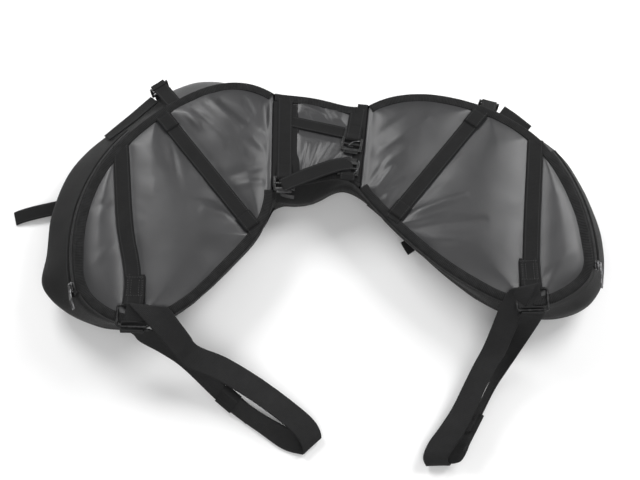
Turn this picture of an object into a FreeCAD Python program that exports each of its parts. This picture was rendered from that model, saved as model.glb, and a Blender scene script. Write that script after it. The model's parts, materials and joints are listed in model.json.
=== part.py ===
"""Horseshoe motorcycle saddlebag, lying on its outer face with the bike side up.

Millimetres, +Z up, origin under the middle of the bag on the surface it lies on.
Two stuffed lobes hang off a short centre saddle.  Each lobe is a sewn shell (face
panel, stiffener, gusset, outer panel, edge binding), zipped round its outer end.
"""
import FreeCAD, Part
import math
import os

import Sketcher
from FreeCAD import Placement, Rotation, Vector

os.makedirs("parts", exist_ok=True)
doc = FreeCAD.newDocument("horseshoe_saddlebag")

# --------------------------------------------------------------- driving sizes
SIZES = {
    "face_height": 92.0,        # face panel above the ground at the fold seams
    "lobe_rise": 4.86,          # degrees that a stuffed lobe climbs outwards
    "belly_low": 42.0,          # the widest band of the gusset
    "belly_high": 60.0,
    "shoulder_drop": 18.0,      # foot of the zip band, below the face
    "panel_thick": 4.0,
    "base_thick": 5.0,
    "wall_thick": 4.0,
    "foam_thick": 6.0,
    "foam_inset": 16.0,
    "seam_gap": 3.0,            # room for the fold between a lobe and the centre
    "binding_width": 15.0,
    "binding_thick": 1.6,
    "webbing": 25.0,
    "wide_webbing": 30.0,
    "narrow_webbing": 20.0,
    "loop_webbing": 38.0,
    "webbing_thick": 2.0,
    "loop_thick": 2.6,
    "wire": 4.0,                # diameter of the ring wire
    "ring_width": 47.0,         # centre line to centre line
    "ring_depth": 34.0,
    "ring_corner": 4.0,
    "bar_lift": 4.2,            # height of a pivot bar above the panel it lies on
    "fold_gap": 0.3,            # play between a bar and the webbing folded round it
    "fold_thick": 1.6,          # webbing pulled tight round a bar
    "keeper_length": 48.0,
    "lock_width": 34.0,
    "lock_length": 30.0,
    "lock_thick": 3.2,
    "lock_bar": 3.2,
    "lock_slot": 26.5,
    "slot_pitch": 9.0,
    "tape_offset": 1.3,
    "coil_offset": 3.4,
    "slider_length": 14.0,
    "slider_width": 10.0,
    "slider_thick": 4.0,
    "slider_play": 3.2,
    "pull_length": 34.0,
    "pull_width": 7.0,
    "pull_thick": 2.0,
    "sleeve_length": 30.0,
}
sheet = doc.addObject("Spreadsheet::Sheet", "Sizes")
for row, (alias, value) in enumerate(SIZES.items(), start=1):
    sheet.set("A%d" % row, alias)
    sheet.set("B%d" % row, str(value))
    sheet.setAlias("B%d" % row, alias)
doc.recompute()


def size(alias):
    """The value of one cell of the sheet."""
    return float(sheet.get(alias))


FACE = size("face_height")
SLOPE = math.tan(math.radians(size("lobe_rise")))
parts = []


def keep(obj, label):
    """Make an object one of the sub-parts that are written out."""
    obj.Label = label
    parts.append(obj)
    return obj


def feature(label, shape, placement=None):
    """A sub-part whose shape is made by Part functions."""
    obj = doc.addObject("Part::Feature", label)
    obj.Shape = shape
    if placement is not None:
        obj.Placement = placement
    return keep(obj, label)


# ------------------------------------------------------------ outlines and walls
def arc(centre, radius, degrees):
    """Points on a round end of a face outline."""
    found = []
    for angle in degrees:
        turn = math.radians(angle)
        found.append((centre[0] + radius * math.cos(turn), centre[1] + radius * math.sin(turn)))
    return found


def outward(points, index):
    """Unit normal in plan that points out of an open outline."""
    before = points[max(index - 1, 0)]
    after = points[min(index + 1, len(points) - 1)]
    run = Vector(after[0] - before[0], after[1] - before[1], 0)
    return Vector(run.y, -run.x, 0).normalize()


def grown(points, distances, seam):
    """An outline moved outwards by one distance per point; its ends slide along the seam."""
    found = []
    for index, (x, y) in enumerate(points):
        step = outward(points, index) * distances[index]
        found.append((x + step.x, y + step.y))
    along = Vector(seam[1][0] - seam[0][0], seam[1][1] - seam[0][1], 0).normalize()
    for end, sign in ((0, -1.0), (-1, 1.0)):
        x, y = points[end]
        step = along * (sign * distances[end])
        found[end] = (x + step.x, y + step.y)
    return found


def times_of(points):
    """Curve parameters from the lengths between the points."""
    times = [0.0]
    for before, after in zip(points, points[1:]):
        times.append(times[-1] + math.dist(before, after))
    return times


class Lobe:
    """One stuffed side bag: its outlines, counterclockwise from one end of its seam."""

    def __init__(self, name, face, outset, belly, base, centre, radius):
        self.name = name
        self.face = face
        self.outset = outset
        self.belly = belly
        self.base = base
        self.centre = centre
        self.radius = radius
        self.seam = (face[0], face[-1])
        self.seam_x = 0.5 * (face[0][0] + face[-1][0])
        self.times = times_of(face)
        self.side = 1.0 if self.seam_x > 0 else -1.0

    def z(self, x, drop=0.0):
        """Height of the face, which climbs away from its seam, less a drop."""
        return FACE + SLOPE * self.side * (x - self.seam_x) - drop

    def level(self, points, height=None, drop=None):
        """Points of an outline lifted to a flat height or to a drop below the face."""
        if drop is None:
            return [Vector(x, y, height) for x, y in points]
        return [Vector(x, y, self.z(x, drop)) for x, y in points]

    def curve(self, points):
        spline = Part.BSplineCurve()
        spline.interpolate(Points=points, Parameters=self.times)
        return spline

    def band(self, outer, inner, first=0, last=-1):
        """A closed wire between two outlines, from one station to another."""
        start = self.times[first]
        end = self.times[last]
        out = self.curve(outer).toShape(start, end)
        back = self.curve(inner).toShape(start, end)
        closing = [
            Part.makeLine(out.valueAt(end), back.valueAt(end)),
            Part.makeLine(back.valueAt(start), out.valueAt(start)),
        ]
        return Part.Wire([out, closing[0], back, closing[1]])

    def outline(self, points):
        """A closed wire: an outline and the straight seam that closes it."""
        start = self.times[0]
        end = self.times[-1]
        edge = self.curve(points).toShape(start, end)
        return Part.Wire([edge, Part.makeLine(edge.valueAt(end), edge.valueAt(start))])

    def spread(self, value):
        return [value] * len(self.face)

    def frame(self, x, y, lift=0.0):
        """A placement on the face: Z out of the panel, X level across the lobe."""
        tilt = Rotation(Vector(0, 1, 0), -self.side * size("lobe_rise"))
        base = Vector(x, y, self.z(x)) + tilt.multVec(Vector(0, 0, lift))
        return Placement(base, tilt)


LEFT = Lobe(
    "left",
    face=[(-45, 281), (-128, 298), (-203, 264)]
    + arc((-76, 17), 272, (135, 155, 174, 188, 200))
    + [(-309, -99), (-260, -119), (-193, -102), (-113, -27), (-58, 48), (-45, 108)],
    outset=[0, 4, 8, 12, 12, 12, 12, 12, 8, 0, 0, 0, 0, 0],
    belly=[(-45, 280), (-140, 326), (-217, 312), (-305, 243), (-380, 165), (-408, 60), (-411, -8),
           (-402, -60), (-352, -97), (-268, -112), (-200, -92), (-120, -17), (-64, 55), (-45, 108)],
    base=[(-45, 262), (-140, 296), (-207, 284), (-287, 223), (-356, 152), (-381, 54), (-384, -2),
          (-376, -46), (-335, -76), (-268, -90), (-205, -70), (-135, 0), (-78, 64), (-45, 118)],
    centre=(-76, 17),
    radius=272,
)
RIGHT = Lobe(
    "right",
    face=[(96, 113), (120, 80), (182, 11), (287, -70), (357, -93), (415, -74)]
    + arc((129, -5), 321, (-6, 0, 8, 19, 33))
    + [(332, 232), (262, 264), (190, 277), (112, 258)],
    outset=[0, 0, 0, 0, 0, 8, 12, 12, 12, 12, 12, 10, 8, 4, 0],
    belly=[(96.3, 116), (126, 86), (188, 20), (293, -70), (366, -96), (445, -86), (482, -42),
           (489, -4), (489, 42), (476, 106), (438, 180), (345, 252), (268, 273), (192, 281),
           (111.8, 256)],
    base=[(98, 131), (142, 98), (205, 38), (300, -48), (364, -76), (421, -66), (457, -31),
          (465, 0), (465, 38), (452, 96), (416, 164), (334, 228), (262, 250), (192, 260),
          (110.5, 244)],
    centre=(129, -5),
    radius=321,
)


def ruled(wires):
    return Part.makeLoft(wires, True, True)


def sewn_shell(lobe):
    """Outer panel, gusset, face panel, stiffener and edge binding of one lobe."""
    wall = size("wall_thick")
    base_top = size("base_thick")
    panel = size("panel_thick")
    shoulder = grown(lobe.face, lobe.outset, lobe.seam)
    rings = []
    for points, height, drop in (
        (lobe.base, base_top, None),
        (lobe.belly, size("belly_low"), None),
        (lobe.belly, size("belly_high"), None),
        (shoulder, None, size("shoulder_drop")),
        (lobe.face, None, panel),
    ):
        inner = grown(points, lobe.spread(-wall), lobe.seam)
        rings.append(lobe.band(lobe.level(points, height, drop), lobe.level(inner, height, drop)))
    feature(lobe.name + "_gusset", ruled(rings))
    feature(lobe.name + "_outer_panel", ruled([
        lobe.outline(lobe.level(lobe.base, 0.0)),
        lobe.outline(lobe.level(lobe.base, base_top)),
    ]))
    feature(lobe.name + "_face_panel", ruled([
        lobe.outline(lobe.level(lobe.face, drop=panel)),
        lobe.outline(lobe.level(lobe.face, drop=0.0)),
    ]))
    pad = grown(lobe.face, lobe.spread(-size("foam_inset")), lobe.seam)
    feature(lobe.name + "_stiffener", ruled([
        lobe.outline(lobe.level(pad, drop=panel + size("foam_thick"))),
        lobe.outline(lobe.level(pad, drop=panel)),
    ]))
    trim = grown(lobe.face, lobe.spread(-size("binding_width")), lobe.seam)
    top = -size("binding_thick")
    feature(lobe.name + "_edge_binding", ruled([
        lobe.band(lobe.level(lobe.face, drop=0.0), lobe.level(trim, drop=0.0)),
        lobe.band(lobe.level(lobe.face, drop=top), lobe.level(trim, drop=top)),
    ]))
    lobe.inside = ruled([
        lobe.outline(lobe.level(trim, drop=0.0)),
        lobe.outline(lobe.level(trim, drop=-10.0)),
    ])


# -------------------------------------------------------------------- webbing
def section(centre, across, up, width, thickness):
    """The four corners of a flat rectangular section."""
    half = across * (width / 2)
    rise = up * (thickness / 2)
    return [centre - half - rise, centre + half - rise, centre + half + rise, centre - half + rise]


def ribbon(stations, width, thickness):
    """Webbing through stations of (centre, direction of its width), with flat facets."""
    centres = [Vector(*station[0]) for station in stations]
    rings = []
    for index, centre in enumerate(centres):
        run = centres[min(index + 1, len(centres) - 1)] - centres[max(index - 1, 0)]
        run.normalize()
        across = Vector(*stations[index][1])
        across = (across - run * across.dot(run)).normalize()
        rings.append(section(centre, across, across.cross(run), width, thickness))
    corners = [rings[0][::-1], rings[-1]]
    for near, far in zip(rings, rings[1:]):
        for index in range(4):
            following = (index + 1) % 4
            if index == 2:  # both broad sides are split along the same diagonal
                corners.append([near[index], near[following], far[index]])
                corners.append([near[following], far[following], far[index]])
            else:
                corners.append([near[index], near[following], far[following]])
                corners.append([near[index], far[following], far[index]])
    faces = [Part.Face(Part.makePolygon(loop + loop[:1])) for loop in corners]
    solid = Part.Solid(Part.makeShell(faces))
    if solid.Volume < 0:
        solid.reverse()
    return solid


def face_strap(lobe, label, points, width):
    """Webbing sewn flat on a lobe's face, trimmed where the binding covers it."""
    thickness = size("webbing_thick")
    stations = []
    for index, (x, y) in enumerate(points):
        before = points[max(index - 1, 0)]
        after = points[min(index + 1, len(points) - 1)]
        slope = lobe.side * SLOPE
        run = Vector(after[0] - before[0], after[1] - before[1], slope * (after[0] - before[0]))
        normal = Vector(-slope, 0, 1).normalize()
        centre = Vector(x, y, lobe.z(x)) + normal * (thickness / 2)
        stations.append((centre, normal.cross(run.normalize())))
    strap = ribbon(stations, width, thickness)
    feature(lobe.name + "_" + label, strap.common(lobe.inside))


def folded_strap(label, placement, width_alias, length, low):
    """Webbing whose end is folded round a pivot bar and sewn back on itself."""
    name = label + "_ply"
    ply = doc.addObject("Part::Box", name)
    ply.setExpression("Length", "Sizes." + width_alias)
    ply.Width = length
    ply.setExpression("Height", "Sizes.webbing_thick")
    ply.Placement.Base = Vector(-size(width_alias) / 2, 0, low)
    upright = Rotation(Vector(0, 1, 0), 90)
    fold = doc.addObject("Part::Cylinder", label + "_fold")
    fold.setExpression("Radius", "Sizes.wire / 2 + Sizes.fold_gap + Sizes.fold_thick")
    fold.setExpression("Height", "Sizes." + width_alias)
    fold.Placement = Placement(Vector(-size(width_alias) / 2, 0, size("bar_lift")), upright)
    eye = doc.addObject("Part::Cylinder", label + "_eye")
    eye.setExpression("Radius", "Sizes.wire / 2 + Sizes.fold_gap")
    eye.setExpression("Height", "Sizes." + width_alias + " + 2")
    eye.Placement = Placement(Vector(-size(width_alias) / 2 - 1, 0, size("bar_lift")), upright)
    sewn = doc.addObject("Part::Fuse", label + "_sewn")
    sewn.Base = ply
    sewn.Tool = fold
    strap = doc.addObject("Part::Cut", label)
    strap.Base = sewn
    strap.Tool = eye
    strap.Placement = placement
    return keep(strap, label)


def wire_ring(label, placement, width, depth):
    """A rectangular ring of round wire, one bar on the local X axis, the rest towards -Y."""
    corner = size("ring_corner")
    half = width / 2
    lift = size("bar_lift")
    square = [Vector(-half, 0, lift), Vector(half, 0, lift),
              Vector(half, -depth, lift), Vector(-half, -depth, lift)]
    edges = []
    for index in range(4):
        here = square[index]
        last = square[index - 1]
        following = square[(index + 1) % 4]
        into = (here - last).normalize()
        away = (following - here).normalize()
        middle = here + (away - into) * (corner * (1 - math.sqrt(0.5)))
        edges.append(Part.Arc(here - into * corner, middle, here + away * corner).toShape())
        edges.append(Part.makeLine(here + away * corner, following - away * corner))
    path = Part.Wire(edges)
    first = path.Edges[0]
    start = first.Vertexes[0].Point
    heading = first.tangentAt(first.FirstParameter)
    profile = Part.Wire(Part.makeCircle(size("wire") / 2, start, heading))
    return feature(label, path.makePipeShell([profile], True, False), placement)


# -------------------------------------------------------------- moulded locks
def sketch_rectangle(sketch, name, west, south, width, height):
    """A rectangle with its size and place held by constraints; each size is an expression."""
    first = sketch.GeometryCount
    corners = [(0, 0), (10, 0), (10, 10), (0, 10)]
    for index in range(4):
        x0, y0 = corners[index]
        x1, y1 = corners[(index + 1) % 4]
        sketch.addGeometry(Part.LineSegment(Vector(x0, y0, 0), Vector(x1, y1, 0)), False)
    for index in range(4):
        sketch.addConstraint(Sketcher.Constraint("Coincident", first + index, 2, first + (index + 1) % 4, 1))
    for index, kind in enumerate(("Horizontal", "Vertical", "Horizontal", "Vertical")):
        sketch.addConstraint(Sketcher.Constraint(kind, first + index))
    held = (
        ("width", Sketcher.Constraint("DistanceX", first, 1, first, 2, 10.0), width),
        ("height", Sketcher.Constraint("DistanceY", first + 1, 1, first + 1, 2, 10.0), height),
        ("west", Sketcher.Constraint("DistanceX", first, 1, -1, 1, 1.0), west),
        ("south", Sketcher.Constraint("DistanceY", first, 1, -1, 1, 1.0), south),
    )
    for word, constraint, expression in held:
        index = sketch.addConstraint(constraint)
        sketch.renameConstraint(index, name + "_" + word)
        sketch.setExpression("Constraints." + name + "_" + word, expression)


def ladder_lock(label, placement):
    """A moulded ladder lock: an end bar, a middle bar and a release tab."""
    body = doc.addObject("PartDesign::Body", label)
    plane = [item for item in body.Origin.OriginFeatures if item.Role == "XY_Plane"][0]
    outline = body.newObject("Sketcher::SketchObject", label + "_outline")
    outline.AttachmentSupport = [(plane, "")]
    outline.MapMode = "FlatFace"
    half = "Sizes.lock_width / 2"
    bar = "Sizes.lock_bar"
    sketch_rectangle(outline, "frame", half, "Sizes.lock_length - " + bar + " / 2",
                     "Sizes.lock_width", "Sizes.lock_length")
    slot = "Sizes.lock_slot"
    pitch = "Sizes.slot_pitch"
    sketch_rectangle(outline, "hinge_slot", slot + " / 2", pitch, slot, pitch + " - " + bar + " / 2")
    sketch_rectangle(outline, "web_slot", slot + " / 2", pitch + " * 2", slot, pitch + " - " + bar)
    doc.recompute()
    pad = body.newObject("PartDesign::Pad", label + "_pad")
    pad.Profile = outline
    pad.setExpression("Length", "Sizes.lock_thick")
    pad.Midplane = True
    body.Placement = placement
    return keep(body, label)


def raised(placement, lift):
    """The same placement, moved out along its own Z."""
    return placement.multiply(Placement(Vector(0, 0, lift), Rotation()))


# ----------------------------------------------------------------- zip hardware
TAPE_DROPS = (5.0, 17.0)    # edges of the tape and of the coil, below the face
COIL_DROPS = (9.5, 12.5)
PULL_START = 3.0            # from the middle of a slider to the root of its pull
PULL_GAP = 0.4              # between a slider and its pull


def zip_band(lobe, label, offsets, drops, stations):
    """A strip that lies on the zip band below the face edge, between two stations."""
    near, far = offsets
    first, last = stations
    reach = size("shoulder_drop") - size("panel_thick")
    wires = []
    for drop in drops:
        share = (drop - size("panel_thick")) / reach
        places = [share * out for out in lobe.outset]
        inner = grown(lobe.face, [place + near for place in places], lobe.seam)
        outer = grown(lobe.face, [place + far for place in places], lobe.seam)
        wires.append(lobe.band(lobe.level(outer, drop=drop), lobe.level(inner, drop=drop), first, last))
    feature(lobe.name + "_" + label, ruled(wires))


def zip_slider(lobe, angle):
    """The slider at the front end of the zip, with the pull tab that hangs from it."""
    reach = size("shoulder_drop") - size("panel_thick")
    drop = 0.5 * (COIL_DROPS[0] + COIL_DROPS[1])
    cone = max(lobe.outset)
    out = cone * (drop - size("panel_thick")) / reach + size("coil_offset") + size("slider_play")
    hub = lobe.frame(lobe.centre[0], lobe.centre[1])
    turn = Placement(Vector(0, 0, 0), Rotation(Vector(0, 0, 1), angle))
    lean = Rotation(Vector(0, 1, 0), math.degrees(math.atan2(reach, cone)))
    seat = hub.multiply(turn).multiply(Placement(Vector(lobe.radius + out, 0, -drop), lean))
    plate = doc.addObject("Part::Box", lobe.name + "_slider_plate")
    plate.setExpression("Length", "Sizes.slider_width")
    plate.setExpression("Width", "Sizes.slider_length")
    plate.setExpression("Height", "Sizes.slider_thick")
    plate.Placement.Base = Vector(-size("slider_width") / 2, -size("slider_length") / 2, 0)
    slider = doc.addObject("Part::Chamfer", lobe.name + "_zip_slider")
    slider.Base = plate
    doc.recompute()
    slider.Edges = [(index, 1.5, 1.5) for index in (4, 8, 2, 6)]
    slider.Placement = seat
    keep(slider, lobe.name + "_zip_slider")
    pull = doc.addObject("Part::Box", lobe.name + "_zip_pull")
    pull.setExpression("Length", "Sizes.pull_width")
    pull.setExpression("Width", "Sizes.pull_length")
    pull.setExpression("Height", "Sizes.pull_thick")
    offset = PULL_START if lobe.side < 0 else -PULL_START - size("pull_length")
    corner = Vector(-size("pull_width") / 2, offset, size("slider_thick") + PULL_GAP)
    pull.Placement = seat.multiply(Placement(corner, Rotation()))
    keep(pull, lobe.name + "_zip_pull")


# ---------------------------------------------------------------- foot loops
SLEEVE_ROOM = (1.5, 1.0)    # between the webbing's edge or side and the sleeve round it


def foot_loop(lobe, anchor, stations, sleeve):
    """The webbing loop that hangs from the ring's outer bar, and its sewn sleeve."""
    width = size("loop_webbing")
    thickness = size("loop_thick")
    bar = anchor.multiply(Placement(Vector(0, -size("ring_depth"), size("bar_lift")), Rotation()))
    bore = size("wire") / 2 + size("fold_gap")
    middle = bore + thickness / 2
    level = bar.Rotation.multVec(Vector(1, 0, 0))
    above = (bar.multVec(Vector(0, 0, middle)), level)
    below = (bar.multVec(Vector(0, 0, -middle)), level)
    webbing = ribbon([above] + stations + [below], width, thickness)
    start = bar.multVec(Vector(-width / 2, 0, 0))
    fold = Part.makeCylinder(bore + thickness, width, start, level)
    eye = Part.makeCylinder(bore, width + 2, start - level, level)
    feature(lobe.name + "_foot_loop", webbing.fuse(fold).cut(eye))
    first, last = sleeve
    middle_point = (Vector(*stations[first][0]) + Vector(*stations[last][0])) * 0.5
    run = (Vector(*stations[last][0]) - Vector(*stations[first][0])).normalize()
    across = Vector(*stations[first][1])
    reach = run * (size("sleeve_length") / 2)
    outer = [(middle_point - reach, across), (middle_point + reach, across)]
    longer = [(middle_point - reach * 1.2, across), (middle_point + reach * 1.2, across)]
    cover = ribbon(outer, width + 2 * SLEEVE_ROOM[0] + 4.0, thickness + 2 * SLEEVE_ROOM[1] + 3.2)
    hollow = ribbon(longer, width + 2 * SLEEVE_ROOM[0], thickness + 2 * SLEEVE_ROOM[1])
    feature(lobe.name + "_loop_sleeve", cover.cut(hollow))


# ------------------------------------------------------------- the back straps
LOCK_DROP = 22.0    # height of a back lock's bar below the edge of the face
STRAP_LIFT = 3.0    # centre of a compression strap, out from the widest line of the wall
STRAP_FOOT = 7.0    # height of a compression strap's lower end
BAR_CLEAR = 1.0     # air behind a back lock's bar
ANCHOR_IN = 13.0    # how far an anchor strap reaches in over the face
ANCHOR_OUT = 3.0    # where it turns down, out from the edge of the face
ANCHOR_AIR = (0.3, 0.9)    # gaps over the binding at those two places


def back_strap(lobe, place):
    """The compression strap on the back wall, its ladder lock and its loose tail."""
    belly = lobe.curve(lobe.level(lobe.belly, size("belly_high")))
    base = lobe.curve(lobe.level(lobe.base, size("base_thick")))
    face = lobe.curve(lobe.level(lobe.face, drop=0.0))
    low = int(place)
    time = lobe.times[low] + (place - low) * (lobe.times[low + 1] - lobe.times[low])
    along = belly.tangent(time)[0]
    along.z = 0
    along.normalize()
    normal = Vector(along.y, -along.x, 0)
    if normal.y < 0:
        normal = normal * -1.0
    side = normal.cross(Vector(0, 0, 1))
    at_belly = belly.value(time)
    at_base = base.value(time)
    at_face = face.value(time)
    thick = size("webbing_thick")
    bar = Vector(at_belly.x, at_belly.y, 0) + normal * (size("bar_lift") + BAR_CLEAR)
    bar.z = at_face.z - LOCK_DROP
    over = at_face + normal * ANCHOR_OUT
    over.z = lobe.z(over.x) + size("binding_thick") + ANCHOR_AIR[1] + thick / 2
    inner = at_face - normal * ANCHOR_IN
    inner.z = lobe.z(inner.x) + size("binding_thick") + ANCHOR_AIR[0] + thick / 2
    middle = size("wire") / 2 + size("fold_gap")
    hook = bar + Vector(0, 0, middle + size("fold_thick") / 2) + normal * 0.4
    level = side + Vector(0, 0, lobe.side * SLOPE * side.x)
    anchor = ribbon([(inner, level), (over, level), (hook, side)], size("webbing"), thick)
    start = bar - side * (size("webbing") / 2)
    fold = Part.makeCylinder(middle + size("fold_thick"), size("webbing"), start, side)
    eye = Part.makeCylinder(middle, size("webbing") + 2, start - side, side)
    feature(lobe.name + "_lock_anchor", anchor.fuse(fold).cut(eye))
    upright = Rotation(side, Vector(0, 0, 1), normal, "XYZ")
    ladder_lock(lobe.name + "_back_lock", Placement(bar, upright))
    foot = bar - Vector(0, 0, size("lock_length") + BAR_CLEAR)
    down = [
        (Vector(at_base.x, at_base.y, STRAP_FOOT) + normal * STRAP_LIFT, side),
        (Vector(at_belly.x, at_belly.y, size("belly_low") - 2.0) + normal * STRAP_LIFT, side),
        (Vector(at_belly.x, at_belly.y, foot.z) + normal * STRAP_LIFT, side),
    ]
    feature(lobe.name + "_compression_strap", ribbon(down, size("webbing"), thick))
    lobe.back_bar = bar
    lobe.back_side = side
    lobe.back_normal = normal


# ------------------------------------------------------------------ the lobes
RING_PLACES = {"left": (-252, -92), "right": (355, -67)}
LONG_STRAPS = {
    "left": [(-291, 176), (-275, 43), (-260, -26), (-252, -84)],
    "right": [(383, 196), (366, 51), (360, -7), (355, -59)],
}
DIAGONALS = {
    "left": [(-236, 244), (-62, 26)],
    "right": [(309, 254), (144, 51)],
}
LOOPS = {
    "left": [
        ((-251, -138, 112), (1, 0, 0.05)),
        ((-236, -150, 98), (0.85, 0.45, 0.3)),
        ((-206, -154, 78), (0.6, 0.75, 0.25)),
        ((-166, -160, 62), (0.48, 0.86, 0.1)),
        ((-122, -176, 50), (0.5, 0.84, 0)),
        ((-66, -208, 42), (0.55, 0.8, -0.15)),
        ((-12, -246, 31), (0.66, 0.72, -0.2)),
        ((12, -268, 21), (0.72, 0.68, -0.1)),
        ((20, -287, 12), (0.74, 0.67, 0)),
        ((12, -288, 3.8), (0.74, 0.67, 0)),
        ((-17, -280, 11.5), (0.6, 0.64, 0.48)),
        ((-56, -258, 18.5), (0.42, 0.5, 0.76)),
        ((-96, -231, 19.7), (0.42, 0.47, 0.78)),
        ((-128, -205, 23.7), (0.42, 0.47, 0.78)),
        ((-174, -167, 38), (0.5, 0.5, 0.7)),
        ((-205, -150, 57), (0.72, 0.45, 0.5)),
        ((-231, -142, 82), (0.95, 0.3, 0.1)),
        ((-249, -136, 103), (1, 0.05, 0.05)),
    ],
    "right": [
        ((354, -113, 115), (1, 0, 0)),
        ((344, -125, 102), (0.95, -0.25, 0.1)),
        ((322, -136, 80), (0.85, -0.42, 0.25)),
        ((301, -152, 64), (0.76, -0.42, 0.45)),
        ((285, -178, 54), (0.72, -0.38, 0.55)),
        ((268, -210, 47), (0.72, -0.36, 0.55)),
        ((252, -241, 41), (0.75, -0.38, 0.5)),
        ((234, -270, 35), (0.82, -0.42, 0.3)),
        ((216, -294, 29), (0.93, -0.33, 0.1)),
        ((209, -309, 23), (1, -0.1, 0)),
        ((213, -318, 13), (1, 0, 0)),
        ((217, -316, 4.5), (1, 0, 0)),
        ((232, -307, 11), (0.85, -0.35, 0.35)),
        ((245, -294, 18.5), (0.6, -0.3, 0.72)),
        ((260, -274, 23.2), (0.25, -0.12, 0.95)),
        ((279, -240, 24.5), (0.2, -0.1, 0.97)),
        ((300, -203, 25), (0.2, -0.1, 0.97)),
        ((315, -177, 29), (0.35, -0.15, 0.9)),
        ((330, -146, 46), (0.65, -0.3, 0.65)),
        ((343, -121, 82), (0.97, -0.2, 0.1)),
        ((353, -111, 107), (1, 0, 0)),
    ],
}
SLEEVES = {"left": (12, 13), "right": (14, 15)}
ZIP_RANGE = {"left": (3, 7), "right": (6, 10)}
ZIP_REST = {"left": 196.0, "right": -4.0}
BACK_PLACES = {"left": 2.25, "right": 11.38}
TAILS = {
    "left": [((-258, 287, 78), (0.3, -0.35, 0.89)), ((-288, 262, 78), (0.35, -0.4, 0.85)),
             ((-326, 225, 76), (0.4, -0.4, 0.82))],
    "right": [((337, 264, 82), (-0.25, -0.3, 0.92)), ((353, 252, 82), (-0.3, -0.36, 0.88)),
              ((370, 238, 80), (-0.33, -0.36, 0.87))],
}

for lobe in (LEFT, RIGHT):
    sewn_shell(lobe)
    face_strap(lobe, "long_strap", LONG_STRAPS[lobe.name], size("webbing"))
    face_strap(lobe, "diagonal_strap", DIAGONALS[lobe.name], size("webbing"))
    ring_x, ring_y = RING_PLACES[lobe.name]
    anchor = lobe.frame(ring_x, ring_y)
    folded_strap(lobe.name + "_ring_keeper", anchor, "wide_webbing",
                 size("keeper_length"), size("webbing_thick"))
    wire_ring(lobe.name + "_ring", anchor, size("ring_width"), size("ring_depth"))
    foot_loop(lobe, anchor, LOOPS[lobe.name], SLEEVES[lobe.name])
    first, last = ZIP_RANGE[lobe.name]
    zip_band(lobe, "zip_tape", (0.0, size("tape_offset")), TAPE_DROPS, (first, last))
    zip_band(lobe, "zip_coil", (size("tape_offset"), size("coil_offset")), COIL_DROPS, (first, last))
    zip_slider(lobe, ZIP_REST[lobe.name])
    back_strap(lobe, BACK_PLACES[lobe.name])
    feature(lobe.name + "_strap_tail",
            ribbon(TAILS[lobe.name], size("webbing"), size("webbing_thick")))

feature("left_tether_tail", ribbon(
    [((-386, 116, 12), (-0.2, 0.9, 0)), ((-430, 106, 10), (-0.2, 0.9, 0)),
     ((-470, 97, 6), (-0.2, 0.9, 0)), ((-487, 92, 2.5), (-0.2, 0.9, 0))],
    size("webbing"), size("webbing_thick")))

# ----------------------------------------------------------------- the centre
GAP = size("seam_gap")
LEFT_EDGE = -45 + GAP


def right_edge(y):
    """Where the centre stops, a fold's gap short of the slanted right seam."""
    (x0, y0), (x1, y1) = RIGHT.seam
    return x0 + (x1 - x0) * (y - y0) / (y1 - y0) - GAP


CENTRE_BACK = [(-18, 278), (21, 273), (55, 264), (84, 257)]
CENTRE_FRONT = {
    "face": [(-42, 113), (-8, 118), (30, 125), (62, 130)],
    "belly": [(-42, 106), (-8, 98), (30, 108), (62, 130)],
    "base": [(-42, 119), (-8, 115), (30, 124), (62, 142)],
}
FRONT_END = {"face": 114, "belly": 122, "base": 134}  # where the front meets the right seam
BACK_GROWTH = {"face": 0.0, "belly": 3.0, "base": -18.0}


def centre_edge(level, which, inset=0.0):
    """Points along the back or the front of the centre at one level."""
    if which == "back":
        grow = BACK_GROWTH[level] - inset
        points = [(LEFT_EDGE, 282 + grow)] + [(x, y + grow) for x, y in CENTRE_BACK]
        return points + [(right_edge(258 + grow), 258 + grow)]
    points = [(x, y + inset) for x, y in CENTRE_FRONT[level]]
    end = FRONT_END[level] + inset
    return points + [(right_edge(end), end)]


def spline(points, height):
    curve = Part.BSplineCurve()
    curve.interpolate(Points=[Vector(x, y, height) for x, y in points], Parameters=times_of(points))
    return curve.toShape()


def closed(first, second):
    """A wire from one open edge to another, closed by two straight lines."""
    a = first.valueAt(first.LastParameter)
    b = second.valueAt(second.LastParameter)
    c = second.valueAt(second.FirstParameter)
    d = first.valueAt(first.FirstParameter)
    return Part.Wire([first, Part.makeLine(a, b), second, Part.makeLine(c, d)])


def centre_wall(which):
    wall = size("wall_thick")
    wires = []
    for level, height in (
        ("base", size("base_thick")),
        ("belly", size("belly_low")),
        ("belly", size("belly_high")),
        ("face", FACE - size("panel_thick")),
    ):
        wires.append(closed(spline(centre_edge(level, which), height),
                            spline(centre_edge(level, which, wall), height)))
    feature("centre_%s_wall" % which, ruled(wires))


def centre_plate(label, level, low, high, inset=0.0):
    wires = []
    for height in (low, high):
        wires.append(closed(spline(centre_edge(level, "back", inset), height),
                            spline(centre_edge(level, "front", inset), height)))
    feature(label, ruled(wires))


def flat_strap(label, start, end, width, low):
    """A straight length of webbing, flat at one height."""
    run = Vector(end[0] - start[0], end[1] - start[1], 0)
    strap = doc.addObject("Part::Box", label)
    strap.Length = run.Length
    strap.Width = width
    strap.setExpression("Height", "Sizes.webbing_thick")
    heading = Rotation(Vector(0, 0, 1), math.degrees(math.atan2(run.y, run.x)))
    strap.Placement = Placement(Vector(start[0], start[1], low), heading).multiply(
        Placement(Vector(0, -width / 2, 0), Rotation()))
    return keep(strap, label)


def flat_frame(x, y, heading, height):
    """A level placement whose -Y points along the heading."""
    return Placement(Vector(x, y, height), Rotation(Vector(0, 0, 1), heading + 90))


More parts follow.
